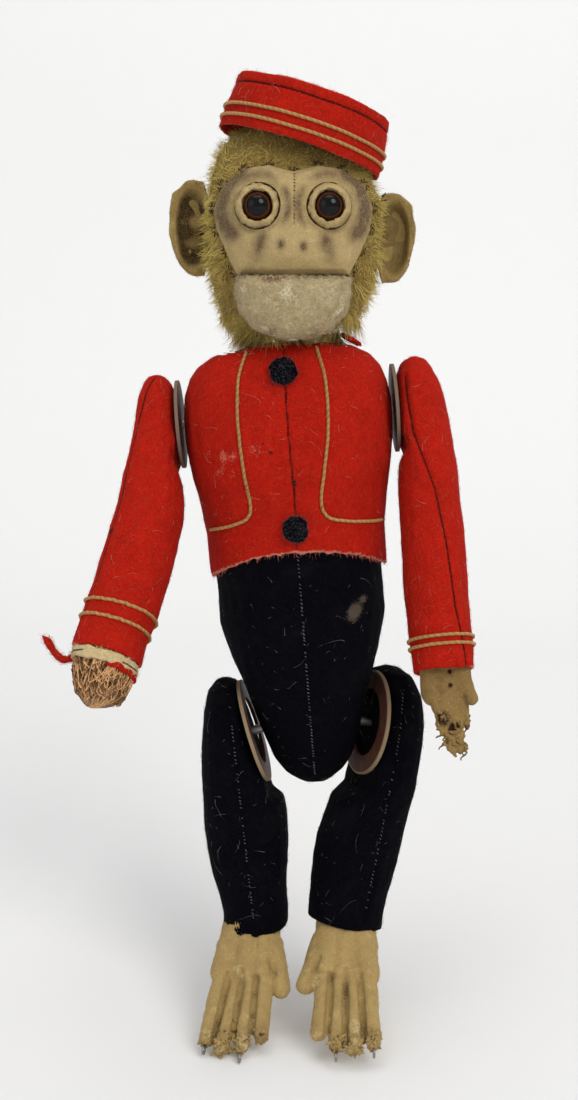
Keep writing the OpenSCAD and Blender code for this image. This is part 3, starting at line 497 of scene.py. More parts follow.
def colours():
    """The scene's colours."""
    return bpy.context.scene.monkey_colours


def sizes():
    """The scene's sizes."""
    return bpy.context.scene.monkey_sizes


def rgba(colour, k=1.0):
    """A colour with its alpha, made k times as bright."""
    return (min(1, colour[0] * k), min(1, colour[1] * k), min(1, colour[2] * k), 1.0)


class Wiring:
    """Adds nodes to a material or group and joins them."""

    def __init__(self, tree):
        self.tree = tree

    def add(self, kind, inputs=None, **settings):
        """A node with its settings; inputs holds values or the sockets to join."""
        node = self.tree.nodes.new(kind)
        for key, value in settings.items():
            setattr(node, key, value)
        for key, value in (inputs or {}).items():
            if isinstance(value, bpy.types.NodeSocket):
                self.tree.links.new(value, node.inputs[key])
            else:
                node.inputs[key].default_value = value
        return node

    def mix(self, share, low, high, blend="MIX"):
        """A colour between two."""
        node = self.add("ShaderNodeMix", data_type="RGBA", blend_type=blend)
        for key, value in ((0, share), (6, low), (7, high)):
            if isinstance(value, bpy.types.NodeSocket):
                self.tree.links.new(value, node.inputs[key])
            else:
                node.inputs[key].default_value = value
        return node.outputs[2]

    def sum(self, kind, one, two=0.5, clamp=False):
        """One step of arithmetic."""
        return self.add("ShaderNodeMath", {0: one, 1: two}, operation=kind, use_clamp=clamp).outputs[0]

    def band(self, value, low, high, start=0.0, end=1.0):
        """Maps low..high to start..end, smoothly and kept inside."""
        node = self.add("ShaderNodeMapRange", {0: value, 1: low, 2: high, 3: start, 4: end})
        node.interpolation_type = "SMOOTHSTEP"
        return node.outputs[0]

    def noise(self, where, scale, detail=3.0, rough=0.55, twist=0.0):
        """Soft random value from 0 to 1."""
        inputs = {"Vector": where, "Scale": scale, "Detail": detail, "Roughness": rough,
                  "Distortion": twist}
        return self.add("ShaderNodeTexNoise", inputs).outputs[0]

    def stretched(self, where, scale):
        """The coordinates stretched by three factors."""
        return self.add("ShaderNodeMapping", {"Vector": where, "Scale": scale}).outputs[0]


def new_group(name, takes, gives):
    """An empty node group with its sockets, and its input and output nodes."""
    tree = bpy.data.node_groups.new(name, "ShaderNodeTree")
    for label, kind, value in takes:
        socket = tree.interface.new_socket(name=label, in_out="INPUT", socket_type=kind)
        if value is not None:
            socket.default_value = value
    for label, kind in gives:
        tree.interface.new_socket(name=label, in_out="OUTPUT", socket_type=kind)
    wiring = Wiring(tree)
    return tree, wiring, wiring.add("NodeGroupInput"), wiring.add("NodeGroupOutput")


def nap_group():
    """Felt nap: matted fibres lying every way over a mottled ground, with painted shade in its dented pits.
    """
    name = "Felt nap"
    if name in bpy.data.node_groups:
        return bpy.data.node_groups[name]
    takes = [
        ("Where", "NodeSocketVector", None),
        ("Colour", "NodeSocketColor", (0.5, 0.5, 0.5, 1)),
        ("Fibre", "NodeSocketColor", (0.6, 0.6, 0.6, 1)),
        ("Deep", "NodeSocketColor", (0.2, 0.2, 0.2, 1)),
        ("Fibre amount", "NodeSocketFloat", 0.4),
        ("Mottle", "NodeSocketFloat", 0.5),
    ]
    gives = [("Colour", "NodeSocketColor"), ("Height", "NodeSocketFloat")]
    tree, w, given, out = new_group(name, takes, gives)
    where = given.outputs["Where"]
    strands = None
    for scale in ((420.0, 2600.0, 900.0), (2600.0, 900.0, 500.0), (900.0, 1500.0, 2900.0)):
        streak = w.noise(w.stretched(where, scale), 1.0, 2.0, 0.6, 1.4)
        streak = w.band(streak, 0.56, 0.70)
        strands = streak if strands is None else w.sum("MAXIMUM", strands, streak)
    # Pits are dented in the relief and painted toward the deep colour as painted shade
    pits = w.band(w.noise(where, 1500.0, 5.0, 0.7, 0.4), 0.30, 0.52, 1.0, 0.0)
    broad = w.band(w.noise(where, 110.0, 4.0, 0.6, 0.6), 0.32, 0.70)
    fine = w.band(w.noise(where, 520.0, 4.0, 0.65, 0.3), 0.30, 0.72)
    shade = w.sum("MULTIPLY", w.sum("ADD", w.sum("MULTIPLY", broad, 0.55), w.sum("MULTIPLY", fine, 0.45)),
                  given.outputs["Mottle"])
    ground = w.mix(shade, given.outputs["Colour"], given.outputs["Deep"])
    ground = w.mix(w.sum("MULTIPLY", pits, w.sum("MULTIPLY", given.outputs["Mottle"], 0.7)), ground,
                   given.outputs["Deep"])
    share = w.sum("MULTIPLY", strands, given.outputs["Fibre amount"])
    colour = w.mix(share, ground, given.outputs["Fibre"])
    height = w.sum("ADD", w.sum("MULTIPLY", strands, 0.6), w.sum("MULTIPLY", fine, 0.35))
    height = w.sum("SUBTRACT", height, w.sum("MULTIPLY", pits, 0.5))
    w.tree.links.new(colour, out.inputs["Colour"])
    w.tree.links.new(height, out.inputs["Height"])
    return tree


def wear_and_shade_group():
    """Worn patches and painted shade: a marked patch, broken up at its edge, that shows another colour."""
    name = "Wear"
    if name in bpy.data.node_groups:
        return bpy.data.node_groups[name]
    takes = [
        ("Where", "NodeSocketVector", None),
        ("Colour", "NodeSocketColor", (0.5, 0.5, 0.5, 1)),
        ("Worn", "NodeSocketColor", (0.8, 0.8, 0.8, 1)),
        ("Mark", "NodeSocketFloat", 0.0),
        ("Grain", "NodeSocketFloat", 900.0),
        ("Break up", "NodeSocketFloat", 0.5),
    ]
    gives = [("Colour", "NodeSocketColor"), ("Mask", "NodeSocketFloat")]
    tree, w, given, out = new_group(name, takes, gives)
    speck = w.noise(given.outputs["Where"], given.outputs["Grain"], 4.0, 0.65, 0.3)
    push = w.sum("MULTIPLY", w.sum("SUBTRACT", speck, 0.5),
                 w.sum("MULTIPLY", given.outputs["Break up"], 2.2))
    held = w.band(given.outputs["Mark"], 0.02, 0.22)
    mask = w.sum("MULTIPLY", w.band(w.sum("ADD", given.outputs["Mark"], push), 0.22, 0.70), held)
    w.tree.links.new(w.mix(mask, given.outputs["Colour"], given.outputs["Worn"]), out.inputs["Colour"])
    w.tree.links.new(mask, out.inputs["Mask"])
    return tree


def grime_group():
    """Grime: soft dull blotches of age over any colour."""
    name = "Grime"
    if name in bpy.data.node_groups:
        return bpy.data.node_groups[name]
    takes = [
        ("Where", "NodeSocketVector", None),
        ("Colour", "NodeSocketColor", (0.5, 0.5, 0.5, 1)),
        ("Soil", "NodeSocketColor", (0.1, 0.07, 0.04, 1)),
        ("Amount", "NodeSocketFloat", 0.3),
        ("Size", "NodeSocketFloat", 90.0),
    ]
    gives = [("Colour", "NodeSocketColor"), ("Mask", "NodeSocketFloat")]
    tree, w, given, out = new_group(name, takes, gives)
    blotch = w.band(w.noise(given.outputs["Where"], given.outputs["Size"], 6.0, 0.68, 0.8), 0.46, 0.78)
    mask = w.sum("MULTIPLY", blotch, given.outputs["Amount"])
    w.tree.links.new(w.mix(mask, given.outputs["Colour"], given.outputs["Soil"]), out.inputs["Colour"])
    w.tree.links.new(mask, out.inputs["Mask"])
    return tree


def grouped(w, group, inputs):
    """A group placed in a material with its own values."""
    node = w.add("ShaderNodeGroup")
    node.node_tree = group
    for key, value in inputs.items():
        if isinstance(value, bpy.types.NodeSocket):
            w.tree.links.new(value, node.inputs[key])
        else:
            node.inputs[key].default_value = value
    return node


def blank(name):
    """A new material, its wiring, its shader and the object's own coordinates."""
    material = bpy.data.materials.new(name)
    material.use_nodes = True
    w = Wiring(material.node_tree)
    shader = material.node_tree.nodes["Principled BSDF"]
    where = w.add("ShaderNodeTexCoord").outputs["Object"]
    return material, w, shader, where


def kept(maker):
    """Makes each named material once."""

    def once(name, *args, **kwargs):
        return bpy.data.materials.get(name) or maker(name, *args, **kwargs)

    return once


def marked(w, name):
    """The number marked at each point of a piece."""
    return w.add("ShaderNodeAttribute", attribute_name=name).outputs["Fac"]


def bumped(w, shader, height, strength, depth):
    """Small relief on the shader."""
    bump = w.add("ShaderNodeBump", {"Strength": strength, "Distance": depth, "Height": height})
    w.tree.links.new(bump.outputs[0], shader.inputs["Normal"])


@kept
def felt(name, colour, fibre=None, deep=None, worn=None, hole_shade_and_stain=None, seam=None, airbrush_dirt_and_shade=None, sheen=0.25,
         fibres=0.45,
         mottle=0.5, soil=0.25, soil_colour=None, relief=0.55, shine=0.14):
    """Felt: nap, grime, airbrush, and the piece's own seam, stained and worn marks; the airbrush and stained
    marks also carry painted shade in hollows, creases and holes.
    """
    fibre = fibre or rgba(colour, 1.5)
    deep = deep or rgba(colour, 0.55)
    material, w, shader, where = blank(name)
    nap = grouped(w, nap_group(), {"Where": where, "Colour": rgba(colour), "Fibre": fibre, "Deep": deep,
                                   "Fibre amount": fibres, "Mottle": mottle})
    dirt = grouped(w, grime_group(), {"Where": where, "Colour": nap.outputs["Colour"], "Amount": soil,
                                      "Soil": soil_colour or rgba(colour, 0.35), "Size": 75.0})
    out = dirt.outputs["Colour"]
    # Airbrush, dirt and painted shade: the face's airbrushed shading, dirt on the feet, and painted shade in
    # ear hollows and foot creases
    speckle = w.band(w.noise(where, 2100.0, 3.0, 0.7), 0.25, 0.75, 0.62, 1.12)
    out = w.mix(w.sum("MULTIPLY", marked(w, "airbrush_dirt_and_shade"), speckle, True), out, airbrush_dirt_and_shade or rgba(colour, 0.4))
    # Stains, and painted shade inside moth holes and tears
    out = grouped(w, wear_and_shade_group(), {"Where": where, "Colour": out, "Worn": hole_shade_and_stain or rgba(colour, 0.2),
                                    "Mark": marked(w, "hole_shade_and_stain"), "Break up": 0.42,
                                    "Grain": 1300.0}).outputs[0]
    out = grouped(w, wear_and_shade_group(), {"Where": where, "Colour": out, "Worn": seam or rgba(colour, 0.16),
                                    "Mark": marked(w, "seam"), "Break up": 0.30,
                                    "Grain": 1700.0}).outputs[0]
    out = grouped(w, wear_and_shade_group(), {"Where": where, "Colour": out, "Worn": worn or fibre,
                                    "Mark": marked(w, "worn"), "Break up": 0.50,
                                    "Grain": 1500.0}).outputs[0]
    w.tree.links.new(out, shader.inputs["Base Color"])
    shader.inputs["Roughness"].default_value = 0.95
    shader.inputs["Specular IOR Level"].default_value = shine
    shader.inputs["Sheen Weight"].default_value = sheen
    shader.inputs["Sheen Roughness"].default_value = 0.45
    shader.inputs["Sheen Tint"].default_value = fibre
    bumped(w, shader, nap.outputs["Height"], relief, 0.0005)
    return material


@kept
def yarn(name, colour, other=None, rough=0.85, sheen=0.2, spec=0.25):
    """Thread, hair, braid or shavings: each strand has its own tone between two colours."""
    material, w, shader, where = blank(name)
    tone = marked(w, "tone")
    speck = w.noise(where, 900.0, 3.0, 0.6)
    share = w.band(w.sum("ADD", w.sum("MULTIPLY", tone, 0.7), w.sum("MULTIPLY", speck, 0.5)), 0.2, 1.0)
    out = w.mix(share, rgba(colour), rgba(other) if other else rgba(colour, 0.55))
    w.tree.links.new(out, shader.inputs["Base Color"])
    shader.inputs["Roughness"].default_value = rough
    shader.inputs["Specular IOR Level"].default_value = spec
    shader.inputs["Sheen Weight"].default_value = sheen
    shader.inputs["Sheen Tint"].default_value = rgba(colour, 1.6)
    bumped(w, shader, w.noise(where, 5200.0, 2.0), 0.25, 0.0001)
    return material


@kept
def metal(name, colour, rough=0.32, rust=0.35, scratch=0.5):
    """Bare old metal with dull rusty blotches and fine rubbing marks."""
    material, w, shader, where = blank(name)
    rub = w.noise(w.stretched(where, (300.0, 300.0, 2400.0)), 1.0, 3.0, 0.6)
    dirt = grouped(w, grime_group(), {"Where": where, "Colour": w.mix(w.sum("MULTIPLY", rub, scratch),
                                      rgba(colour), rgba(colour, 0.6)), "Soil": (0.055, 0.028, 0.014, 1),
                                      "Amount": rust, "Size": 420.0})
    w.tree.links.new(dirt.outputs["Colour"], shader.inputs["Base Color"])
    w.tree.links.new(w.band(dirt.outputs["Mask"], 0.0, 0.6, 1.0, 0.35), shader.inputs["Metallic"])
    w.tree.links.new(w.band(w.sum("ADD", dirt.outputs["Mask"], w.sum("MULTIPLY", rub, 0.3)), 0.0, 1.0,
                            rough, 0.8), shader.inputs["Roughness"])
    bumped(w, shader, rub, 0.15, 0.0002)
    return material


@kept
def enamel(name, colour, chip, centre, axis, radius, width):
    """Painted ring plate, rubbed to a pale rim round its outer edge."""
    material, w, shader, where = blank(name)
    away = w.add("ShaderNodeVectorMath", {0: where, 1: centre}, operation="SUBTRACT").outputs[0]
    depth = w.add("ShaderNodeVectorMath", {0: away, 1: axis}, operation="DOT_PRODUCT").outputs["Value"]
    long = w.add("ShaderNodeVectorMath", {0: away}, operation="LENGTH").outputs["Value"]
    squared = w.sum("SUBTRACT", w.sum("MULTIPLY", long, long), w.sum("MULTIPLY", depth, depth))
    reach = w.sum("SQRT", squared)
    edge = w.band(reach, radius - width, radius - width * 0.25)
    bare = grouped(w, wear_and_shade_group(), {"Where": where, "Colour": rgba(colour), "Worn": chip, "Mark": edge,
                                     "Grain": 700.0, "Break up": 0.35})
    dirt = grouped(w, grime_group(), {"Where": where, "Colour": bare.outputs["Colour"], "Amount": 0.45,
                                      "Soil": (0.16, 0.12, 0.085, 1), "Size": 160.0})
    w.tree.links.new(dirt.outputs["Colour"], shader.inputs["Base Color"])
    w.tree.links.new(w.band(w.sum("ADD", bare.outputs["Mask"], dirt.outputs["Mask"]), 0.0, 1.0, 0.55, 0.85),
                     shader.inputs["Roughness"])
    shader.inputs["Specular IOR Level"].default_value = 0.18
    bumped(w, shader, w.noise(where, 900.0, 3.0), 0.15, 0.0002)
    return material


@kept
def board(name, colour):
    """Pressed fibre board with fine flecks."""
    material, w, shader, where = blank(name)
    fleck = w.band(w.noise(w.stretched(where, (900.0, 2400.0, 1300.0)), 1.0, 3.0, 0.6, 1.0), 0.4, 0.7)
    dirt = grouped(w, grime_group(), {"Where": where,
                                      "Colour": w.mix(fleck, rgba(colour), rgba(colour, 0.5)),
                                      "Amount": 0.4, "Size": 200.0})
    w.tree.links.new(dirt.outputs["Colour"], shader.inputs["Base Color"])
    shader.inputs["Roughness"].default_value = 0.9
    shader.inputs["Specular IOR Level"].default_value = 0.15
    bumped(w, shader, fleck, 0.3, 0.0002)
    return material


@kept
def glass_eye(name, iris, centre, pupil, size):
    """Painted glass eye: a black pupil in a brown iris under a clear glossy front."""
    material, w, shader, where = blank(name)
    away = w.add("ShaderNodeVectorMath", {0: where, 1: centre}, operation="SUBTRACT").outputs[0]
    split = w.add("ShaderNodeSeparateXYZ", {0: away})
    flat = w.add("ShaderNodeCombineXYZ", {0: split.outputs[0], 2: split.outputs[2]})
    reach = w.add("ShaderNodeVectorMath", {0: flat.outputs[0]}, operation="LENGTH").outputs["Value"]
    streak = w.noise(w.stretched(where, (900.0, 1.0, 900.0)), 1.0, 3.0, 0.6, 0.5)
    brown = w.mix(streak, rgba(iris, 1.5), rgba(iris, 0.6))
    brown = w.mix(w.band(reach, size * 0.72, size * 0.98), brown, rgba(iris, 0.25))
    out = w.mix(w.band(reach, pupil, pupil * 1.14), (0.003, 0.003, 0.003, 1), brown)
    w.tree.links.new(out, shader.inputs["Base Color"])
    shader.inputs["Roughness"].default_value = 0.08
    shader.inputs["Specular IOR Level"].default_value = 0.08
    shader.inputs["Coat Weight"].default_value = 0.22
    shader.inputs["Coat Roughness"].default_value = 0.02
    return material


def red():
    """The jacket's red felt."""
    c = colours().red_felt
    return felt("jacket red felt", c, fibre=(0.62, 0.050, 0.022, 1), deep=rgba(c, 0.50),
                worn=(0.60, 0.22, 0.15, 1),
                hole_shade_and_stain=(0.035, 0.012, 0.010, 1), seam=(0.085, 0.003, 0.002, 1), sheen=0.02, shine=0.07,
                fibres=0.40,
                mottle=0.60, soil=0.20, soil_colour=rgba(c, 0.5))


def black():
    """The trousers' black felt."""
    c = colours().black_felt
    return felt("trouser black felt", c, fibre=(0.0060, 0.0060, 0.0105, 1), deep=rgba(c, 0.5),
                worn=(0.085, 0.068, 0.052, 1), hole_shade_and_stain=(0.010, 0.009, 0.009, 1),
                seam=(0.0016, 0.0016, 0.0025, 1),
                sheen=0.0, fibres=0.5, shine=0.05, mottle=0.5, soil=0.25,
                soil_colour=(0.014, 0.013, 0.014, 1))


def tan():
    """The face's tan felt."""
    c = colours().tan_felt
    return felt("face tan felt", c, fibre=(0.70, 0.58, 0.33, 1), deep=(0.35, 0.245, 0.10, 1),
                airbrush_dirt_and_shade=rgba(colours().airbrush), hole_shade_and_stain=(0.10, 0.05, 0.03, 1), seam=(0.075, 0.040, 0.018, 1),
                worn=(0.66, 0.55, 0.33, 1),
                sheen=0.10, fibres=0.35, mottle=0.55, soil=0.30, soil_colour=(0.27, 0.18, 0.075, 1))


def foot_tan():
    """The feet's darker tan felt."""
    return felt("foot tan felt", (0.47, 0.325, 0.125), fibre=(0.62, 0.48, 0.23, 1),
                deep=(0.30, 0.195, 0.070, 1),
                airbrush_dirt_and_shade=(0.24, 0.155, 0.060, 1), hole_shade_and_stain=(0.055, 0.026, 0.012, 1), seam=(0.060, 0.030, 0.011, 1),
                worn=(0.62, 0.50, 0.27, 1),
                sheen=0.10, fibres=0.35, mottle=0.6, soil=0.50, soil_colour=(0.19, 0.125, 0.052, 1))


def hand_tan():
    """The hand's dull tan felt."""
    return felt("hand tan felt", (0.31, 0.195, 0.068), fibre=(0.50, 0.37, 0.16, 1),
                deep=(0.17, 0.10, 0.033, 1),
                airbrush_dirt_and_shade=(0.15, 0.085, 0.030, 1), hole_shade_and_stain=(0.030, 0.014, 0.007, 1), sheen=0.08, fibres=0.35,
                mottle=0.65,
                soil=0.5, soil_colour=(0.12, 0.07, 0.025, 1))


def sewing(dark=True):
    """Sewing thread."""
    if dark:
        return yarn("dark sewing thread", (0.030, 0.008, 0.007), (0.012, 0.005, 0.005))
    return yarn("pale sewing thread", (0.22, 0.21, 0.21), (0.10, 0.10, 0.11))


def braid():
    """Gold braid."""
    c = colours().braid
    return yarn("gold braid", rgba(c, 1.25)[:3], rgba(c, 0.62)[:3], rough=0.55, sheen=0.15, spec=0.5)


# ---- operators -----------------------------------------------------------------------------


class MonkeyStep(bpy.types.Operator):
    """One step of dressing the toy."""

    bl_idname = "monkey.step"
    bl_label = "Step"
    bl_options = {"REGISTER", "UNDO"}

    def execute(self, context):
        """Does the step and says so."""
        self.work(context)
        return {"FINISHED"}


def finish_piece(piece, body, slot, *nodes, fill=None):
    """The piece rides on its body and hides the frame nodes it stands for; its slot and fill are not used.
    """
    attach(piece, body)
    if nodes:
        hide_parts(*nodes)
    return piece


def joint_at(name):
    """Where a joint is."""
    return np.array(JOINTS[name]["pos_m"])


def middle_of(node):
    """The middle of a frame node."""
    low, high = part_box(node)
    return np.array((low + high) / 2)


class MONKEY_OT_stage(MonkeyStep):
    """Sets the camera, the pale floor and the soft studio light"""

    bl_idname = "monkey.stage"
    bl_label = "Camera, floor and light"

    def work(self, context):
        low = Vector(FRAME_BOX[0])
        view = bpy.data.objects.new("camera", bpy.data.cameras.new("camera"))
        context.scene.collection.objects.link(view)
        view.location = (-0.0014, -0.450, 0.048)
        view.rotation_euler = (math.radians(90 - 8.77), 0, 0)
        view.data.sensor_width = 36.0
        view.data.lens = 42.88
        view.data.clip_start = 0.01
        context.scene.camera = view
        self.floor(low.z)
        toy = (0.0, 0.0, -0.03)
        paper = (0.0, 0.95, 0.25)
        for name, at, size, power, tint, target in (
            ("key light", (1.2, -1.9, 1.5), 1.5, 33.0, (1.0, 0.985, 0.96), toy),
            ("fill light", (-1.9, -1.6, 0.7), 2.0, 7.5, (0.97, 0.985, 1.0), toy),
            ("top light", (0.0, 0.0, 2.0), 1.6, 5.0, (1.0, 1.0, 1.0), toy),
            ("paper light", (0.0, -0.10, 1.5), 1.4, 5.5, (1.0, 1.0, 1.0), paper),
        ):
            lamp = bpy.data.lights.new(name, "AREA")
            lamp.shape = "DISK"
            lamp.size = size
            lamp.energy = power
            lamp.color = tint
            holder = bpy.data.objects.new(name, lamp)
            context.scene.collection.objects.link(holder)
            holder.location = at
            aim = Vector(target) - holder.location
            holder.rotation_euler = aim.to_track_quat("-Z", "Y").to_euler()
        world = bpy.data.worlds.new("studio")
        context.scene.world = world
        world.use_nodes = True
        world.node_tree.nodes["Background"].inputs[0].default_value = (0.93, 0.93, 0.93, 1)
        world.node_tree.nodes["Background"].inputs[1].default_value = 0.56
        context.scene.view_settings.view_transform = "Standard"

    def floor(self, height):
        """A wide floor that curves up at the back, as a paper roll does."""
        half = 1.0
        bend = 0.45
        steps = 10
        line = [(-half * 3, height)]
        for k in range(steps + 1):
            a = math.pi / 2 * k / steps
            line.append((half - bend + bend * math.sin(a), height + bend * (1 - math.cos(a))))
        line.append((half, height + half))
        points = [(x, y, z) for x in (-half * 2, half * 2) for y, z in line]
        n = len(line)
        faces = [(k, n + k, n + k + 1, k + 1) for k in range(n - 1)]
        material, w, shader, where = blank("paper floor")
        grain = w.noise(where, 60.0, 3.0)
        c = colours().floor
        w.tree.links.new(w.mix(grain, rgba(c), rgba(c, 0.985)), shader.inputs["Base Color"])
        shader.inputs["Roughness"].default_value = 0.9
        floor = made("floor", points, faces, material)


class MONKEY_OT_jacket(MonkeyStep):
    """Makes the red felt jacket with its seam, worn spots, buttons, lapel braids and torn collar"""

    bl_idname = "monkey.jacket"
    bl_label = "Jacket"

    lapel_right = [(-11.8, 47.4), (-14.6, 40), (-15.8, 30), (-15.9, 20), (-15.2, 8), (-14.1, -1.5),
                   (-15.2, -5.8), (-19.5, -8), (-28.4, -10.4)]
    lapel_left = [(11.2, 47.2), (13, 38), (13.2, 28), (12.4, 18), (10.6, 8), (9, -1.5), (9.8, -6.2),
                  (14, -8.8), (28.8, -11.6)]

    def work(self, context):
        s = sizes()
        coat = recut("jacket", "felt_jacket", 0.00068, 8, red())
        at = points_of(coat)
        across, up = at @ ACROSS, at @ UP
        front = at[:, 1] < -0.004
        seam = self.front_line(coat, [(0.3, 49), (0.0, 20), (0.4, 0), (0.0, -17.5)])
        gap = far_from_line(at, [p for p, _ in seam])
        side_gap = far_from_line(at, [p for turn in (90, -90) for p in self.side_line(coat, turn)])
        gap_all = np.minimum(gap, side_gap)
        lump = lumps(at, 0.016, 3) * s.lump + lumps(at, 0.006, 4) * s.lump * 0.35
        groove = -0.00050 * spot(gap_all, 0.0007) + 0.00018 * spot(gap_all - 0.0024, 0.0014)
        lines = [self.front_line(coat, rows) for rows in (self.lapel_right, self.lapel_left)]
        pinch = far_from_line(at, [p for line in lines for p, _ in line])
        pull = -0.00022 * spot(pinch, 0.0009)
        hem = self.hem_of(at, up)
        low = up - hem
        fray = fade(-low, -0.0016, 0.0) * 0.0004 * (lumps(at, 0.002, 8) + 0.4)
        put(coat, at + facing_of(coat) * (lump + groove + pull)[:, None] - np.outer(fray, UP))
        flank = spot(np.hypot(across + 0.0215, up - 0.013), 0.009) * 0.30 * (0.5 + lumps(at, 0.003, 5))
        scuff = spot(np.hypot(across + 0.0115, up - 0.0165), 0.0035) * 0.32
        edge = fade(-low, -0.0013, -0.0002) * 0.75
        rim = fade(up, 0.0478, 0.0496) * 0.45
        mark(coat, "worn", np.maximum.reduce([flank * front, scuff * front, edge, rim]))
        mark(coat, "seam", 0.95 * spot(gap_all, 0.00042))
        # A hole and two pits on the front, painted dark as the shade inside them; the felt is not cut
        hole = spot(np.hypot((across - 0.0006) * 1.7, up - 0.0045), 0.0017)
        pits = spot(np.hypot(across + 0.0085, up - 0.0182),
                    0.0006) + spot(np.hypot(across + 0.0062, up - 0.0150), 0.0010)
        mark(coat, "hole_shade_and_stain", np.clip(hole * 0.8 + pits * 0.7, 0, 1) * front)
        finish_piece(coat, "torso", "red_felt", "jacket", fill=0.85)
        line = self.front_line(coat, [(0.3, 49), (0.0, 20), (0.4, 0), (0.0, -17.5)])
        stitch = stitched("jacket_seam_stitches", line, s.stitch * 0.85, 0.0008, s.thread * 0.9, sewing(),
                          22, 0.06)
        finish_piece(stitch, "torso", "red_felt")
        lint = yarn("red felt fibre", (0.55, 0.045, 0.022), (0.42, 0.10, 0.06), spec=0.1)
        nap = fuzz("jacket_nap", coat, 5200, 0.0016, 0.000028, lint, 11, 0.28, curl=0.7)
        finish_piece(nap, "torso", "red_felt")
        pale = yarn("pale lint", (0.62, 0.42, 0.36), (0.45, 0.28, 0.22))
        hairs = fuzz("jacket_lint", coat, 240, 0.0030, 0.000032, pale, 21, 0.20, curl=0.9,
                     keep=lambda mid, way: np.where(mid[:, 1] < 0, 1.0, 0.6))
        finish_piece(hairs, "torso", "red_felt")
        self.hem_threads(coat)
        for name, rows in (("right", self.lapel_right), ("left", self.lapel_left)):
            path = [p + f * s.braid * 0.75 for p, f in self.front_line(coat, rows)]
            cord = twisted("lapel_braid_" + name, path, s.braid, 0.0021, braid())
            finish_piece(cord, "torso", "gold_braid", "lapel_cord_" + name)
        self.buttons()
        self.collar()

    def front_line(self, coat, rows):
        """The skin's points and facings under a line drawn on the front, in millimetres across and up."""
        tree = tree_of(coat)
        drawn = np.array([ACROSS * x * MM + UP * z * MM for x, z in rows])
        found = []
        for p in smooth_path(drawn, 0.0006):
            hit, facing, _, _ = tree.ray_cast(Vector(p + FRONT * 0.09), Vector(-FRONT))
            if hit is not None:
                found.append((np.array(hit), np.array(facing)))
        return found

    def side_line(self, coat, turn):
        """The side seam's points below the arm."""
        core = Core(coat, UP * 0.02, UP * -0.026)
        found = [core.skin(t * core.length, turn)[0] for t in np.linspace(0.15, 1.0, 60)]
        return [p for p in found if p is not None]

    def hem_of(self, at, up):
        """The height of the hem below each point, by its turn round the body."""
        turn = np.arctan2(at @ ACROSS, -at[:, 1])
        slot = ((turn + math.pi) / (2 * math.pi) * 96).astype(int) % 96
        low = np.full(96, 1.0)
        np.minimum.at(low, slot, up)
        return low[slot]

    def hem_threads(self, coat):
        """Pinkish frayed ends along the hem."""
        at = points_of(coat)
        up = at @ UP
        low = up - self.hem_of(at, up)
        pick = np.random.default_rng(31)
        near = np.flatnonzero(low < 0.0005)
        chosen = at[pick.choice(near, 420)]
        n = len(chosen)
        reach = pick.uniform(0.0003, 0.0013, n)
        out = chosen - np.outer(chosen @ UP, UP)
        out /= np.linalg.norm(out, axis=1)[:, None]
        way = out * pick.uniform(0.1, 0.6, n)[:, None] - UP + pick.normal(0, 0.5, (n, 3))
        t = np.linspace(0, 1, 4)
        paths = chosen[:, None, :] + way[:, None, :] * (reach[:, None] * t)[:, :, None]
        frayed = yarn("frayed red edge", (0.66, 0.26, 0.20), (0.50, 0.06, 0.04))
        piece = threads("jacket_hem_fray", paths, 0.00007 * taper(4)[None, :], frayed, 3, pick.random(n))
        finish_piece(piece, "torso", "red_felt")

    def buttons(self):
        """Two lumpy buttons of black felt."""
        patch = recut("jacket_buttons", "felt_buttons", 0.00030, 6, black())
        at = points_of(patch)
        swell(patch, lumps(at, 0.0026, 41) * 0.00045, lumps(at, 0.0011, 42) * 0.00022)
        mark(patch, "worn", np.clip(lumps(at, 0.0015, 43), 0, 1) * 0.25)
        finish_piece(patch, "torso", "black_felt", "jacket_buttons")
        grey = yarn("grey lint", (0.10, 0.10, 0.11), (0.03, 0.03, 0.035))
        tuft = fuzz("button_fluff", patch, 700, 0.0015, 0.00004, grey, 44, 0.5, curl=0.9)
        finish_piece(tuft, "torso", "black_felt")

    def collar(self):
        """The torn stub of the collar."""
        stub = recut("collar_stub", "torn_collar", 0.00028, 4, red())
        at = points_of(stub)
        swell(stub, lumps(at, 0.003, 51) * 0.0004, lumps(at, 0.0012, 52) * 0.00025)
        mark(stub, "worn", fade(at[:, 2], at[:, 2].max() - 0.0015, at[:, 2].max()) * 0.6)
        finish_piece(stub, "torso", "red_felt", "collar_stub")
        lint = yarn("red felt fibre", (0.62, 0.10, 0.055))
        finish_piece(fuzz("collar_nap", stub, 260, 0.0012, 0.000035, lint, 53, 0.5), "torso", "red_felt")


def smooth_path(points, step):
    """A smooth curve through the points, evenly stepped."""
    points = np.asarray(points, float)
    full = np.concatenate([[2 * points[0] - points[1]], points, [2 * points[-1] - points[-2]]])
    curve = []
    for k in range(len(points) - 1):
        a, b, c, d = full[k : k + 4]
        for t in np.linspace(0, 1, 24, endpoint=False):
            curve.append(0.5 * (2 * b + (c - a) * t + (2 * a - 5 * b + 4 * c - d) * t**2
                                + (3 * b - a - 3 * c + d) * t**3))
    curve.append(points[-1])
    return even(curve, step)


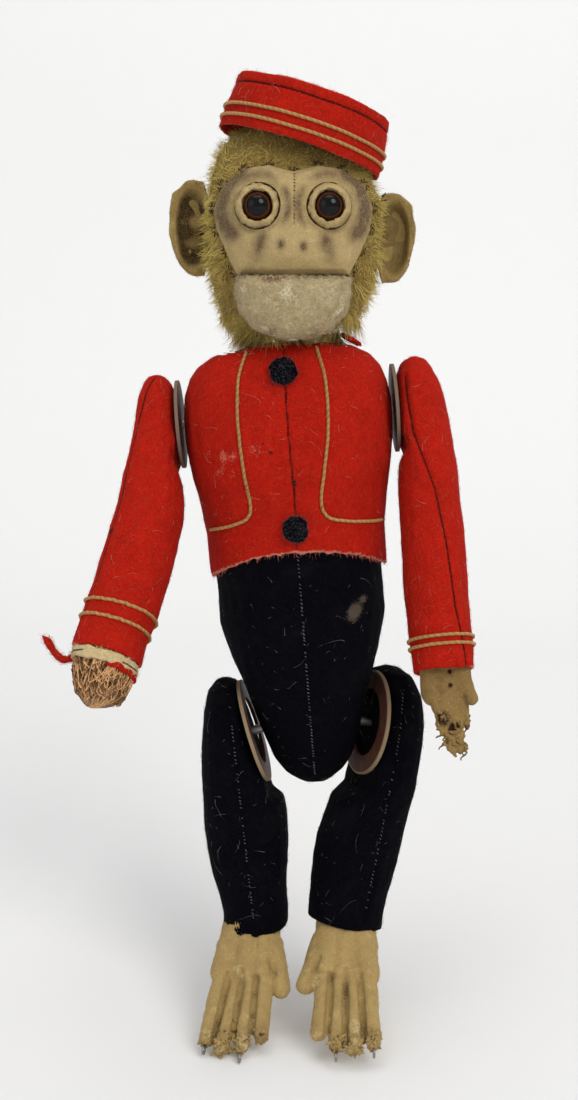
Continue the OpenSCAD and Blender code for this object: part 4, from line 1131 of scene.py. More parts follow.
class MONKEY_OT_trousers(MonkeyStep):
    """Makes the black felt seat and legs with their seams, stitches, lint and worn patch"""

    bl_idname = "monkey.trousers"
    bl_label = "Trousers"

    def work(self, context):
        s = sizes()
        seat = recut("trouser_seat", "felt_trouser_seat", 0.00072, 8, black())
        core = Core(seat, UP * -0.016, UP * -0.103)
        seam = seam_on(core, [(0.0, 0), (1.0, 0)], 170) + seam_on(core, [(0.0, 180), (0.98, 180)], 160)
        self.skin(seat, seam, 61)
        at = points_of(seat)
        across, up = at @ ACROSS, at @ UP
        patch = spot(np.hypot((across - 0.0175) * 1.25 - (up + 0.040) * 0.35, up + 0.0400), 0.0034)
        patch2 = spot(np.hypot(across - 0.0205, (up + 0.0365) * 1.1), 0.0018)
        mark(seat, "worn", np.clip(np.maximum(patch, patch2 * 0.8), 0, 1) * (at[:, 1] < 0) * 0.95)
        finish_piece(seat, "torso", "black_felt", "trouser_seat", fill=0.85)
        front = seam_on(Core(seat, UP * -0.016, UP * -0.103), [(0.0, 0), (0.97, 0)], 170)
        row = stitched("seat_seam_stitches", front, s.stitch, 0.00075, s.thread * 0.75, sewing(False), 55,
                       0.12)
        finish_piece(row, "torso", "black_felt")
        self.hairs("seat", seat, "torso", 300, 71)
        for k, name in enumerate(("right", "left")):
            node = "trouser_leg_" + name
            leg = recut(node, "felt_" + node, 0.00052, 10, black())
            core = self.leg_core(leg)
            turn = 4.0 if name == "right" else 17.0
            seam = seam_on(core, [(0.02, turn), (1.0, turn)], 150)
            self.skin(leg, seam, 62 + k)
            finish_piece(leg, "leg_" + name, "black_felt", node, fill=0.8)
            core = self.leg_core(leg)
            seam = seam_on(core, [(0.06, turn), (0.98, turn)], 150)
            row = stitched(name + "_leg_stitches", seam, s.stitch, 0.0007, s.thread * 0.7, sewing(False),
                           50, 0.25,
                           seed=80 + k)
            finish_piece(row, "leg_" + name, "black_felt")
            self.hairs(name + "_leg", leg, "leg_" + name, 210, 73 + 2 * k)

    def leg_core(self, leg):
        """The leg's middle line, from the hip down to the ankle."""
        at = points_of(leg)
        high = at[at[:, 2] > at[:, 2].max() - 0.022].mean(0)
        low = at[at[:, 2] < at[:, 2].min() + 0.012].mean(0)
        return Core(leg, high + np.array([0, 0, 0.010]), low)

    def skin(self, piece, seam, seed):
        """Lumps under the felt, pulled in at its seams."""
        s = sizes()
        at = points_of(piece)
        gap = far_from_line(at, [p for p, _ in seam])
        swell(piece, lumps(at, 0.018, seed) * s.lump * 1.1, lumps(at, 0.006, seed + 20) * s.lump * 0.4,
              -0.00055 * spot(gap, 0.0008) + 0.0002 * spot(gap - 0.0026, 0.0015))
        mark(piece, "seam", 0.8 * spot(gap, 0.0004))

    def hairs(self, name, piece, body, count, seed):
        """Pale lint hairs and dark felt nap."""
        s = sizes()
        white = yarn("white lint", (0.42, 0.42, 0.42), (0.16, 0.15, 0.15))

        def front(mid, way):
            return np.where(way[:, 1] < 0.2, 1.0, 0.6)

        for part, number, length, thick in (("long", count // 6, s.lint * 0.75, 0.000028),
                                            ("short", count, s.lint * 0.22, 0.000026)):
            lint = fuzz(f"{name}_{part}_lint", piece, number, length, thick, white, seed + len(part), 0.10,
                        keep=front, curl=1.1, steps=7)
            finish_piece(lint, body, "black_felt")
        dark = yarn("black felt fibre", (0.012, 0.012, 0.017), (0.004, 0.004, 0.006), sheen=0.0, spec=0.08)
        nap = fuzz(name + "_nap", piece, 4200, 0.0014, 0.000030, dark, seed + 9, 0.35, curl=0.8)
        finish_piece(nap, body, "black_felt")


class MONKEY_OT_sleeves(MonkeyStep):
    """Makes both felt sleeves with their seams, braids and worn spots"""

    bl_idname = "monkey.sleeves"
    bl_label = "Sleeves"

    seams = {
        "right": [(0.0, -18), (0.25, -28), (0.6, -44), (1.0, -66)],
        "left": [(0.0, -25), (0.2, -20), (0.4, 2), (0.6, 14), (0.8, 22), (1.0, 36)],
    }

    def work(self, context):
        s = sizes()
        for k, name in enumerate(("right", "left")):
            node = "sleeve_" + name
            body = "arm_" + name
            arm = recut(node, "felt_" + node, 0.00050, 10, red())
            at = points_of(arm)
            core = self.arm_core(arm, name)
            seam = seam_on(core, self.seams[name], 190)
            gap = far_from_line(at, [p for p, _ in seam])
            end = self.cuff_gap(at, name)
            swell(arm, lumps(at, 0.017, 91 + k) * s.lump, lumps(at, 0.006, 95 + k) * s.lump * 0.4,
                  -0.00050 * spot(gap, 0.0007) + 0.0002 * spot(gap - 0.0025, 0.0014))
            mark(arm, "seam", 0.95 * spot(gap, 0.00042))
            mark(arm, "worn", fade(-end, -0.0013, -0.0002) * 0.55)
            # Moth holes painted dark as the shade inside them
            mark(arm, "hole_shade_and_stain", self.holes(at, core, name))
            finish_piece(arm, body, "red_felt", node, fill=0.85)
            core = self.arm_core(arm, name)
            line = seam_on(core, self.seams[name], 190)
            row = stitched(name + "_sleeve_stitches", line, s.stitch * 0.9, 0.0008, s.thread * 0.9,
                           sewing(), 20, 0.05,
                           seed=100 + k)
            finish_piece(row, body, "red_felt")
            lint = yarn("red felt fibre", (0.55, 0.045, 0.022), (0.42, 0.10, 0.06), spec=0.1)
            nap = fuzz(name + "_sleeve_nap", arm, 4600, 0.0016, 0.000028, lint, 111 + k, 0.28, curl=0.7)
            finish_piece(nap, body, "red_felt")
            pale = yarn("pale lint", (0.62, 0.42, 0.36), (0.45, 0.28, 0.22))
            finish_piece(fuzz(name + "_sleeve_lint", arm, 130, 0.0028, 0.00003, pale, 121 + k, 0.2), body,
                         "red_felt")
            cords = "cuff_cords_" + name
            for j, ring in enumerate(islands(cords)):
                path = laid_on(ring_line(ring), arm, s.braid * 0.7)
                cord = twisted(f"{name}_cuff_braid_{j + 1}", path, s.braid, 0.0021, braid(), closed=True)
                if j:
                    finish_piece(cord, body, "gold_braid")
                else:
                    finish_piece(cord, body, "gold_braid", cords)

    def arm_core(self, arm, name):
        """The sleeve's middle line, from the shoulder to the cuff."""
        at = points_of(arm)
        cuff = np.concatenate(islands("cuff_cords_" + name)).mean(0)
        pin = joint_at("shoulder_" + name)
        near = np.linalg.norm(at[:, 1:] - pin[1:], axis=1) < 0.010
        top = at[near].mean(0)
        reach = (cuff - top) / np.linalg.norm(cuff - top)
        return Core(arm, top - reach * 0.010, cuff + reach * 0.010)

    def cuff_gap(self, at, name):
        """How far each point is above the cuff's edge."""
        cuff = np.concatenate(islands("cuff_cords_" + name)).mean(0)
        core_way = cuff - joint_at("shoulder_" + name) - np.array([middle_of("sleeve_" + name)[0], 0,
                0]) * 0.45
        core_way /= np.linalg.norm(core_way)
        run = at @ core_way
        return run.max() - run

    def holes(self, at, core, name):
        """Moth holes and grey worn spots of one sleeve; the holes are painted dark as the shade inside them.
        """
        if name == "right":
            spots = [(0.60, -48, 0.0011)]
        else:
            spots = [(0.22, -28, 0.0011), (0.62, 80, 0.0016)]
        total = np.zeros(len(at))
        for part, turn, size in spots:
            point, _ = core.skin(part * core.length, turn)
            if point is not None:
                total = np.maximum(total, spot(np.linalg.norm(at - point, axis=1), size))
        return total * 0.8


class MONKEY_OT_torn_cuff(MonkeyStep):
    """Makes the torn right cuff: its cream hem, the wood wool that spills out and the red shreds"""

    bl_idname = "monkey.torn_cuff"
    bl_label = "Torn cuff"

    def work(self, context):
        c = colours()
        s = sizes()
        cream = felt("cream hem felt", c.cream, fibre=(0.80, 0.70, 0.46, 1), deep=(0.42, 0.28, 0.12, 1),
                     hole_shade_and_stain=(0.07, 0.02, 0.012, 1), seam=(0.10, 0.04, 0.02, 1), sheen=0.1, mottle=0.6,
                     soil=0.5,
                     soil_colour=(0.36, 0.20, 0.09, 1))
        hem = recut("cuff_hem_right", "cream_cuff_hem", 0.00032, 5, cream)
        at = points_of(hem)
        swell(hem, lumps(at, 0.004, 131) * 0.00035, lumps(at, 0.0015, 132) * 0.00018)
        mid = middle_of("cuff_hem_right")
        rings = islands("cuff_cords_right")
        way = self.cuff_way(rings)
        # The tear along the hem is painted dark as the shade inside it; the felt is not cut
        slit = spot((at - mid) @ way - 0.0003 * lumps(at, 0.012, 133),
                    0.00032) * (lumps(at, 0.011, 134) > -0.2)
        mark(hem, "hole_shade_and_stain", slit * 0.9)
        finish_piece(hem, "arm_right", "cream_felt", "cuff_hem_right")
        fibre = yarn("cream fibre", (0.72, 0.60, 0.38), (0.50, 0.36, 0.18))
        finish_piece(fuzz("cuff_hem_fray", hem, 420, 0.0015, 0.00004, fibre, 135, 0.6), "arm_right",
                     "cream_felt")
        # A dark felt core, shrunk inside the strands, painted as the shade deep in the wood wool
        dark = felt("wood wool depths", (0.075, 0.032, 0.013), deep=(0.02, 0.008, 0.004, 1), mottle=0.9,
                    sheen=0.0)
        stump = recut("wood_wool_right", "wood_wool_core", 0.00060, 4, dark)
        at = points_of(stump)
        swell(stump, lumps(at, 0.004, 136) * 0.0004 - 0.0016)
        at = points_of(stump)
        put(stump, at - np.outer(fade((at - mid) @ way, 0.004, 0.016) * 0.0034, way))
        finish_piece(stump, "arm_right", "wood_wool", "wood_wool_right", fill=0.7)
        self.shavings(mid, way, s)
        self.shreds(mid, way)

    def cuff_way(self, rings):
        """The way down the arm at the cuff, from its braid rings."""
        _, _, ways = np.linalg.svd(rings[0] - rings[0].mean(0), full_matrices=False)
        way = ways[2]
        return way if way[2] < 0 else -way

    def shavings(self, mid, way, s):
        """Curly strands of wood wool that loop out of the cuff and back."""
        pick = np.random.default_rng(141)
        core = Core(frame["nodes"]["wood_wool_right"], mid - way * 0.004, mid + way * 0.0125)
        tip = core.start + core.axis * (core.length + 0.0015)
        count, steps = 820, 17
        t = np.linspace(0, 1, steps)
        paths = []
        for k in range(count):
            turn = pick.uniform(0, 360)
            wave_size, wave_rate = pick.uniform(0.0002, 0.0017), pick.uniform(1.0, 3.0)
            wave_start = pick.uniform(0, WHOLE_TURN)
            wave = wave_size * np.sin(wave_rate * t * WHOLE_TURN + wave_start)
            shrink = pick.uniform(0.62, 1.12)
            if k % 3:
                swing = pick.uniform(-80, 80)
                along = np.clip(np.sin(t * math.pi) * pick.uniform(0.5, 1.0), 0.02, 0.95)
                turns = turn + swing * t
            else:
                over = np.radians(np.linspace(-80, 80, steps))
                along = 0.70 + 0.36 * np.cos(over)
                turns = np.where(over < 0, turn, turn + 180)
            path = []
            for j in range(steps):
                deep = float(min(along[j], 0.93)) * core.length
                base = core.start + core.axis * deep
                skin, _ = core.skin(deep, float(turns[j]))
                out = (skin if skin is not None else tip) - base
                close = 1.0 if k % 3 else abs(math.sin(over[j]))
                past = max(0.0, along[j] - 0.93) * core.length
                aside = np.cross(core.axis, out) / (np.linalg.norm(out) + 1e-9)
                path.append(base + out * shrink * close + core.axis * (past + (1 - close) * 0.0012)
                            + aside * wave[j])
            paths.append(path)
        paths = np.array(paths)
        wool = yarn("wood wool strand", rgba(colours().wood_wool, 1.35)[:3], (0.085, 0.032, 0.012),
                    rough=0.6, spec=0.3)
        thick = s.shaving * pick.uniform(0.6, 1.25, count)[:, None]
        piece = threads("wood_wool_strands", paths, thick, wool, 4, pick.random(count) ** 1.3, flat=0.5)
        finish_piece(piece, "arm_right", "wood_wool")

    def shreds(self, mid, way):
        """A torn strip of red felt under the hem, and the rolled red tuft at the cuff's outer side."""
        hem = frame["nodes"]["cuff_hem_right"]
        core = Core(hem, mid - way * 0.003, mid + way * 0.003)
        strip = []
        for turn in np.linspace(2, 118, 60):
            skin, facing = core.skin(core.length * 0.70, float(turn))
            if skin is not None:
                drop = 0.0009 + 0.0003 * math.sin(turn * 0.21)
                strip.append(skin + core.axis * drop - facing * 0.0006)
        path = even(strip, 0.0004)
        wobble = lumps(path, 0.004, 151)[:, None] * 0.0003 * core.axis
        thick = (0.0010 + 0.00025 * lumps(path, 0.003, 152)) * np.minimum(1, np.linspace(0, 9, len(path)))
        thick = thick * np.minimum(1, np.linspace(9, 0, len(path)))
        band = threads("torn_red_strip", [path + wobble], [thick], red(), 10)
        finish_piece(band, "arm_right", "red_felt")
        skin, facing = core.skin(core.length * 0.66, -88.0)
        down = np.array([0, 0, -1.0])
        side = np.array([-1.0, 0, 0])
        roll = smooth_path([skin - side * 0.002, skin + side * 0.0016 + down * 0.0012,
                            skin + side * 0.0046 - down * 0.0004,
                            skin + side * 0.0070 - down * 0.0042, skin + side * 0.0092 - down * 0.0068],
                            0.0003)
        roll = roll + np.outer(lumps(roll, 0.003, 153), [0, 0.0003, 0.0002])
        thick = (0.00125 + 0.0003 * lumps(roll, 0.0022, 154)) * np.minimum(1,
                np.linspace(6, 0.0, len(roll)))
        tuft = threads("torn_red_tuft", [roll], [thick], red(), 12)
        finish_piece(tuft, "arm_right", "red_felt")
        lint = yarn("red felt fibre", (0.62, 0.10, 0.055))
        finish_piece(fuzz("tuft_nap", tuft, 320, 0.0013, 0.00004, lint, 155, 0.7), "arm_right", "red_felt")


class MONKEY_OT_hand(MonkeyStep):
    """Makes the decayed felt hand with its holes and ragged strings"""

    bl_idname = "monkey.hand"
    bl_label = "Torn hand"

    def work(self, context):
        tan_hand = hand_tan()
        hand = recut("hand_left", "felt_hand", 0.00038, 6, tan_hand)
        at = points_of(hand)
        low = at[:, 2].min()
        down = fade(-at[:, 2], -(low + 0.022), -low)
        swell(hand, lumps(at, 0.007, 161) * 0.0006 * (0.4 + down),
              lumps(at, 0.0025, 162) * 0.0003 * (0.3 + 2 * down))
        mark(hand, "worn", np.clip(lumps(at, 0.004, 163), 0, 1) * 0.35)
        # Pits near the fingers, dented and painted dark as shade inside them in holes()
        pits = np.clip(lumps(at, 0.0045, 164) - 0.75, 0, 1) * 2.2 * down
        self.holes(hand, at, pits)
        finish_piece(hand, "arm_left", "tan_felt", "hand_left", fill=0.35)
        crumbs("hand_shreds", hand, "arm_left", 70, 0.0021, 0.00060, 171,
               keep=lambda mid, way: np.where(mid[:, 2] < low + 0.011, 1.0, 0.02), material=tan_hand)
        self.strings(at, low)

    def holes(self, hand, at, pits):
        """Small moth holes on the back of the hand and the hollow inside its torn side, dented and painted
        dark as the shade inside them.
        """
        core = Core(hand, middle_of("hand_left") + [0, 0, 0.016], middle_of("hand_left") - [0, 0, 0.014])
        total = pits
        for part, turn, size in ((0.28, 20, 0.0009), (0.42, 12, 0.0010), (0.20, -35, 0.0006),
                                 (0.75, -20, 0.0026),
                                 (0.85, 10, 0.0022), (0.12, 60, 0.0008)):
            point, _ = core.skin(part * core.length, turn)
            if point is not None:
                total = np.maximum(total, spot(np.linalg.norm(at - point, axis=1), size))
        # Holes and pits are dented and painted dark as the shade inside them
        dip = np.clip(total, 0, 1)
        put(hand, points_of(hand) - facing_of(hand) * (dip * 0.0007)[:, None])
        mark(hand, "hole_shade_and_stain", dip)

    def strings(self, at, low):
        """Loose felt strings that hang from the torn fingers."""
        pick = np.random.default_rng(173)
        near = at[at[:, 2] < low + 0.009]
        chosen = near[pick.choice(len(near), 9)]
        t = np.linspace(0, 1, 12)
        paths = []
        for p in chosen:
            way = np.array([pick.normal(0, 0.4), pick.normal(0, 0.3), -1.0])
            curl = pick.uniform(0.0006, 0.0016)
            spin = pick.uniform(4, 9)
            reach = pick.uniform(0.002, 0.0050)
            line = p + np.outer(t * reach, way)
            line[:, 0] += np.sin(t * spin) * curl
            line[:, 2] = np.maximum(line[:, 2], low - 0.0035)
            paths.append(line)
        piece = threads("hand_strings", paths, 0.00042 * taper(12, 0.5)[None, :], hand_tan(), 6)
        finish_piece(piece, "arm_left", "tan_felt")


def crumbs(name, piece, body, count, length, thick, seed, keep=None, slot="tan_felt", material=None):
    """Ragged crumbs and curled shreds of torn felt on a piece."""
    spots, facing = outer_spots(piece, count, seed, keep, 0.002)
    pick = np.random.default_rng(seed + 5)
    n = len(spots)
    steps = 7
    way = facing * pick.uniform(0.2, 0.9, n)[:, None] + pick.normal(0, 0.6,
            (n, 3)) + np.array([0, 0, -0.35])
    way /= np.linalg.norm(way, axis=1)[:, None]
    bend = np.cross(way, pick.normal(size=(n, 3)))
    t = np.linspace(0, 1, steps)
    reach = length * pick.uniform(0.25, 1.0, n)
    paths = spots[:, None, :] - facing[:, None, :] * 0.0003 + way[:, None, :] * (reach[:, None] * t)[:, :,
            None]
    paths = paths + bend[:, None, :] * (reach * pick.uniform(0.1, 0.6, n))[:, None, None] * (t**2)[None, :,
            None]
    thick = thick * pick.uniform(0.5, 1.5, (n, steps)) * np.minimum(1, 1.4 - t)[None, :]
    shred = threads(name, paths, thick, material or foot_tan(), 6)
    return finish_piece(shred, body, slot)


class MONKEY_OT_feet(MonkeyStep):
    """Makes the hand-like felt feet with finger seams, dimples and ragged toes"""

    bl_idname = "monkey.feet"
    bl_label = "Feet"

    def work(self, context):
        for k, name in enumerate(("right", "left")):
            node = "foot_" + name
            body = "leg_" + name
            foot = recut(node, "felt_" + node, 0.00042, 6, foot_tan())
            at = points_of(foot)
            facing = facing_of(foot)
            toe = at[:, 1].min()
            tips = fade(-at[:, 1], -(toe + 0.0085), -(toe + 0.001))
            rag = tips * (lumps(at, 0.0030, 181 + k) * 0.0007 + lumps(at, 0.0012, 183 + k) * 0.0003)
            soft = lumps(at, 0.010, 185 + k) * 0.00035 + lumps(at, 0.0035, 187 + k) * 0.00012
            put(foot, at + facing * (rag + soft)[:, None])
            crease = self.creases(foot, name)
            # The creases are painted darker as shade, through the seam mark and the airbrush, dirt and shade
            # mark
            mark(foot, "seam", crease)
            mark(foot, "worn", np.clip(lumps(at, 0.0045, 189 + k), 0, 1) * 0.35 + tips * 0.25)
            # Pits on the toe tips, painted dark as the shade inside them
            pits = np.clip(lumps(at, 0.0030, 191 + k) - 0.62, 0, 1) * 2.6 * tips
            brown = np.clip(lumps(at, 0.012, 193 + k) - 0.35, 0, 1) * 0.55
            mark(foot, "hole_shade_and_stain", np.clip(pits * 0.8, 0, 1))
            # Brown blotches and toe tips are darkened as dirt, the creases as painted shade
            mark(foot, "airbrush_dirt_and_shade", np.clip(brown + tips * 0.25 + crease * 0.35, 0, 1))
            finish_piece(foot, body, "tan_felt", node, fill=0.6)
            crumbs(name + "_toe_shreds", foot, body, 110, 0.0017, 0.00055, 201 + k,
                   keep=lambda mid, way: np.where(mid[:, 1] < toe + 0.0045, 1.0, 0.0))
            fibre = yarn("tan fibre", (0.66, 0.54, 0.30), (0.42, 0.30, 0.13))
            finish_piece(fuzz(name + "_foot_nap", foot, 2400, 0.0011, 0.000030, fibre, 211 + k, 0.4), body,
                         "tan_felt")

    def creases(self, foot, name):
        """Presses the seams between the fingers into the foot and marks how deep each point lies in them,
        for painted shade in the creases.
        """
        origin, across, along, up = foot_frame(name)
        tree = tree_of(foot)
        at = points_of(foot)
        line = []
        for start, end in (((-4.8, -23.5), (-5.7, -46)), ((0.1, -22.5), (0.3, -47)),
                           ((5.0, -23.5), (6.4, -46)),
                           ((-9.4, -17.5), (-10.6, -21.5))):
            drawn = [origin + (across * x + along * y + up * 12) * MM for x, y in (start, end)]
            for p in even(drawn, 0.0004):
                hit = tree.ray_cast(Vector(p), Vector(-up))[0]
                if hit is not None:
                    line.append(np.array(hit))
        gap = far_from_line(at, line)
        put(foot, at - facing_of(foot) * (0.0012 * spot(gap, 0.0011))[:, None])
        return spot(gap, 0.00055) * (0.36 + 0.16 * lumps(at, 0.005, 197))


def foot_frame(name):
    """Where a foot is, and its across, toe and top directions, found from its two toe wires."""
    loops = islands("foot_wires_" + name)
    loops.sort(key=lambda loop: abs(loop.mean(0)[0]))
    one, two = loops[0].mean(0), loops[1].mean(0)
    _, _, ways = np.linalg.svd(loops[0] - one, full_matrices=False)
    across = ways[2]
    if np.dot(two - one, across) < 0:
        across = -across
    span = (two - one) / MM
    along = span - across * np.dot(span, across)
    along /= np.linalg.norm(along)
    up = np.cross(across, along)
    if up[2] < 0:
        up = -up
    origin = one - (across * -2.8 + along * -50.2 - up) * MM
    return origin, across, along, up


class MONKEY_OT_head(MonkeyStep):
    """Makes the mohair head: its matted cloth and the pile that grows out of it"""

    bl_idname = "monkey.head"
    bl_label = "Mohair head"

    def work(self, context):
        c = colours()
        s = sizes()
        ground = felt("mohair backing", (0.27, 0.18, 0.055), fibre=rgba(c.mohair), deep=rgba(c.mohair_dark),
                      mottle=0.8, sheen=0.1, fibres=0.6, soil=0.5, soil_colour=(0.05, 0.028, 0.010, 1))
        skull = recut("skull_plush", "mohair_head", 0.00070, 10, ground)
        at = points_of(skull)
        swell(skull, lumps(at, 0.014, 221) * 0.0003)
        finish_piece(skull, "head", "mohair", "skull_plush", fill=0.9)
        face_tree = tree_of(frame["nodes"]["face"])
        muzzle_tree = tree_of(frame["nodes"]["muzzle"])
        hat_mid, hat_way = hat_place()

        def free(mid, way):
            under_hat = (mid - hat_mid) @ hat_way > 0.0012
            back = mid[:, 1] > 0.0
            return np.where(under_hat, 0.0, np.where(back, 0.75, 1.0))

        spots, facing = outer_spots(skull, s.strands, 222, free, 0.012)
        open_skin = []
        for k in range(len(spots)):
            near = min(face_tree.find_nearest(Vector(spots[k]))[3],
                       muzzle_tree.find_nearest(Vector(spots[k]))[3])
            if near > 0.0007:
                open_skin.append(k)
        spots, facing = spots[open_skin], facing[open_skin]
        self.pile("mohair_pile", spots, facing, s.pile, "head", 223, 0.000105)
        self.fringe(skull)
        self.edge_thread(skull)

    def pile(self, name, spots, facing, length, body, seed, thick):
        """Strands that lean the way the pile is brushed, matted in tufts."""
        c = colours()
        pick = np.random.default_rng(seed)
        n = len(spots)
        steps = 5
        brush = np.stack([lumps(spots, 0.009, seed + k) for k in range(3)], 1) * 0.75
        brush = brush + np.stack([lumps(spots, 0.0035, seed + 5 + k) for k in range(3)], 1) * 0.55
        outward = facing + brush + pick.normal(0, 0.28, (n, 3)) + np.array([0, 0, -0.30])
        outward = outward - facing * np.minimum(0, np.sum(outward * facing, 1) - 0.42)[:, None]
        outward /= np.linalg.norm(outward, axis=1)[:, None]
        fall = brush * 0.7 + pick.normal(0, 0.35, (n, 3)) + np.array([0, 0, -0.25])
        t = np.linspace(0, 1, steps)
        reach = length * pick.uniform(0.45, 1.05, n) * (0.85 + 0.25 * lumps(spots, 0.012, seed + 9))
        paths = (spots - facing * 0.0002)[:, None, :] + outward[:, None, :] * (reach[:, None] * t)[:, :,
                None]
        paths = paths + fall[:, None, :] * (reach[:, None] * 0.45 * t**2)[:, :, None]
        tones = 0.34 - 0.40 * lumps(spots, 0.010, seed + 11) - 0.2 * lumps(spots, 0.003, seed + 12)
        tones = tones + pick.normal(0, 0.15, n) - 0.42 * fade(np.abs(spots[:, 0]), 0.016, 0.028)
        hair = yarn("mohair strand", c.mohair, c.mohair_dark, rough=0.55, sheen=0.1, spec=0.35)
        tones = np.clip(tones, 0, 1)
        for k, start in enumerate(range(0, n, MOST_STRANDS)):
            part = slice(start, start + MOST_STRANDS)
            label = name if n <= MOST_STRANDS else f"{name}_{k + 1}"
            piece = threads(label, paths[part], thick * taper(steps, 0.25)[None, :], hair, 3, tones[part])
            finish_piece(piece, body, "mohair")

    def fringe(self, skull):
        """Longer strands under the head, which hide the neck."""
        low = points_of(skull)[:, 2].min()
        spots, facing = outer_spots(skull, FRINGE_STRANDS, 228, lambda mid,
                                    way: (mid[:, 2] < low + 0.0075) * 1.0,
                                    0.004)
        out = spots - spots.mean(0)
        out[:, 2] = 0
        out /= np.linalg.norm(out, axis=1)[:, None] + 1e-9
        lean = facing * 0.15 + out * 0.35 + np.array([0, 0, -1.0])
        self.pile("mohair_fringe", spots, lean / np.linalg.norm(lean, axis=1)[:, None], FRINGE_LENGTH,
                  "head", 229,
                  0.00010)

    def edge_thread(self, skull):
        """Dark seam stitches round the felt face."""
        face = frame["nodes"]["face"]
        head = tree_of(skull)
        at = points_of(face)
        mid = at.mean(0)
        line = []
        for turn in np.linspace(-152, 152, 260):
            a = math.radians(turn)
            way = np.array([math.sin(a), 0, math.cos(a)])
            flat = (at - mid) * [1, 0, 1]
            reach = self.rim(flat, way)
            point = mid + way * (reach + 0.0005)
            hit, facing, _, _ = head.ray_cast(Vector((point[0], BEFORE_TOY, point[2])), STRAIGHT_BACK)
            if hit is not None:
                line.append((np.array(hit), np.array(facing)))
        row = stitched("face_edge_stitches", line, 0.0013, 0.0014, 0.00019, sewing(), 65, 0.05, seed=225,
                       lift=0.0008)
        finish_piece(row, "head", "mohair")

    def rim(self, flat, way):
        """How far the face reaches that way from its middle."""
        along = flat @ way
        side = np.linalg.norm(flat - np.outer(along, way), axis=1)
        near = side < 0.0014
        return float(along[near].max()) if near.any() else float(along.max())


def hat_place():
    """The middle of the hat's lower rim, and the way up the hat."""
    rings = islands("hat_cords")
    mids = sorted([ring.mean(0) for ring in rings], key=lambda m: m[2])
    way = mids[1] - mids[0]
    way /= np.linalg.norm(way)
    at = points_of(frame["nodes"]["hat_band"])
    low = ((at - mids[0]) @ way).min()
    return mids[0] + way * low, way


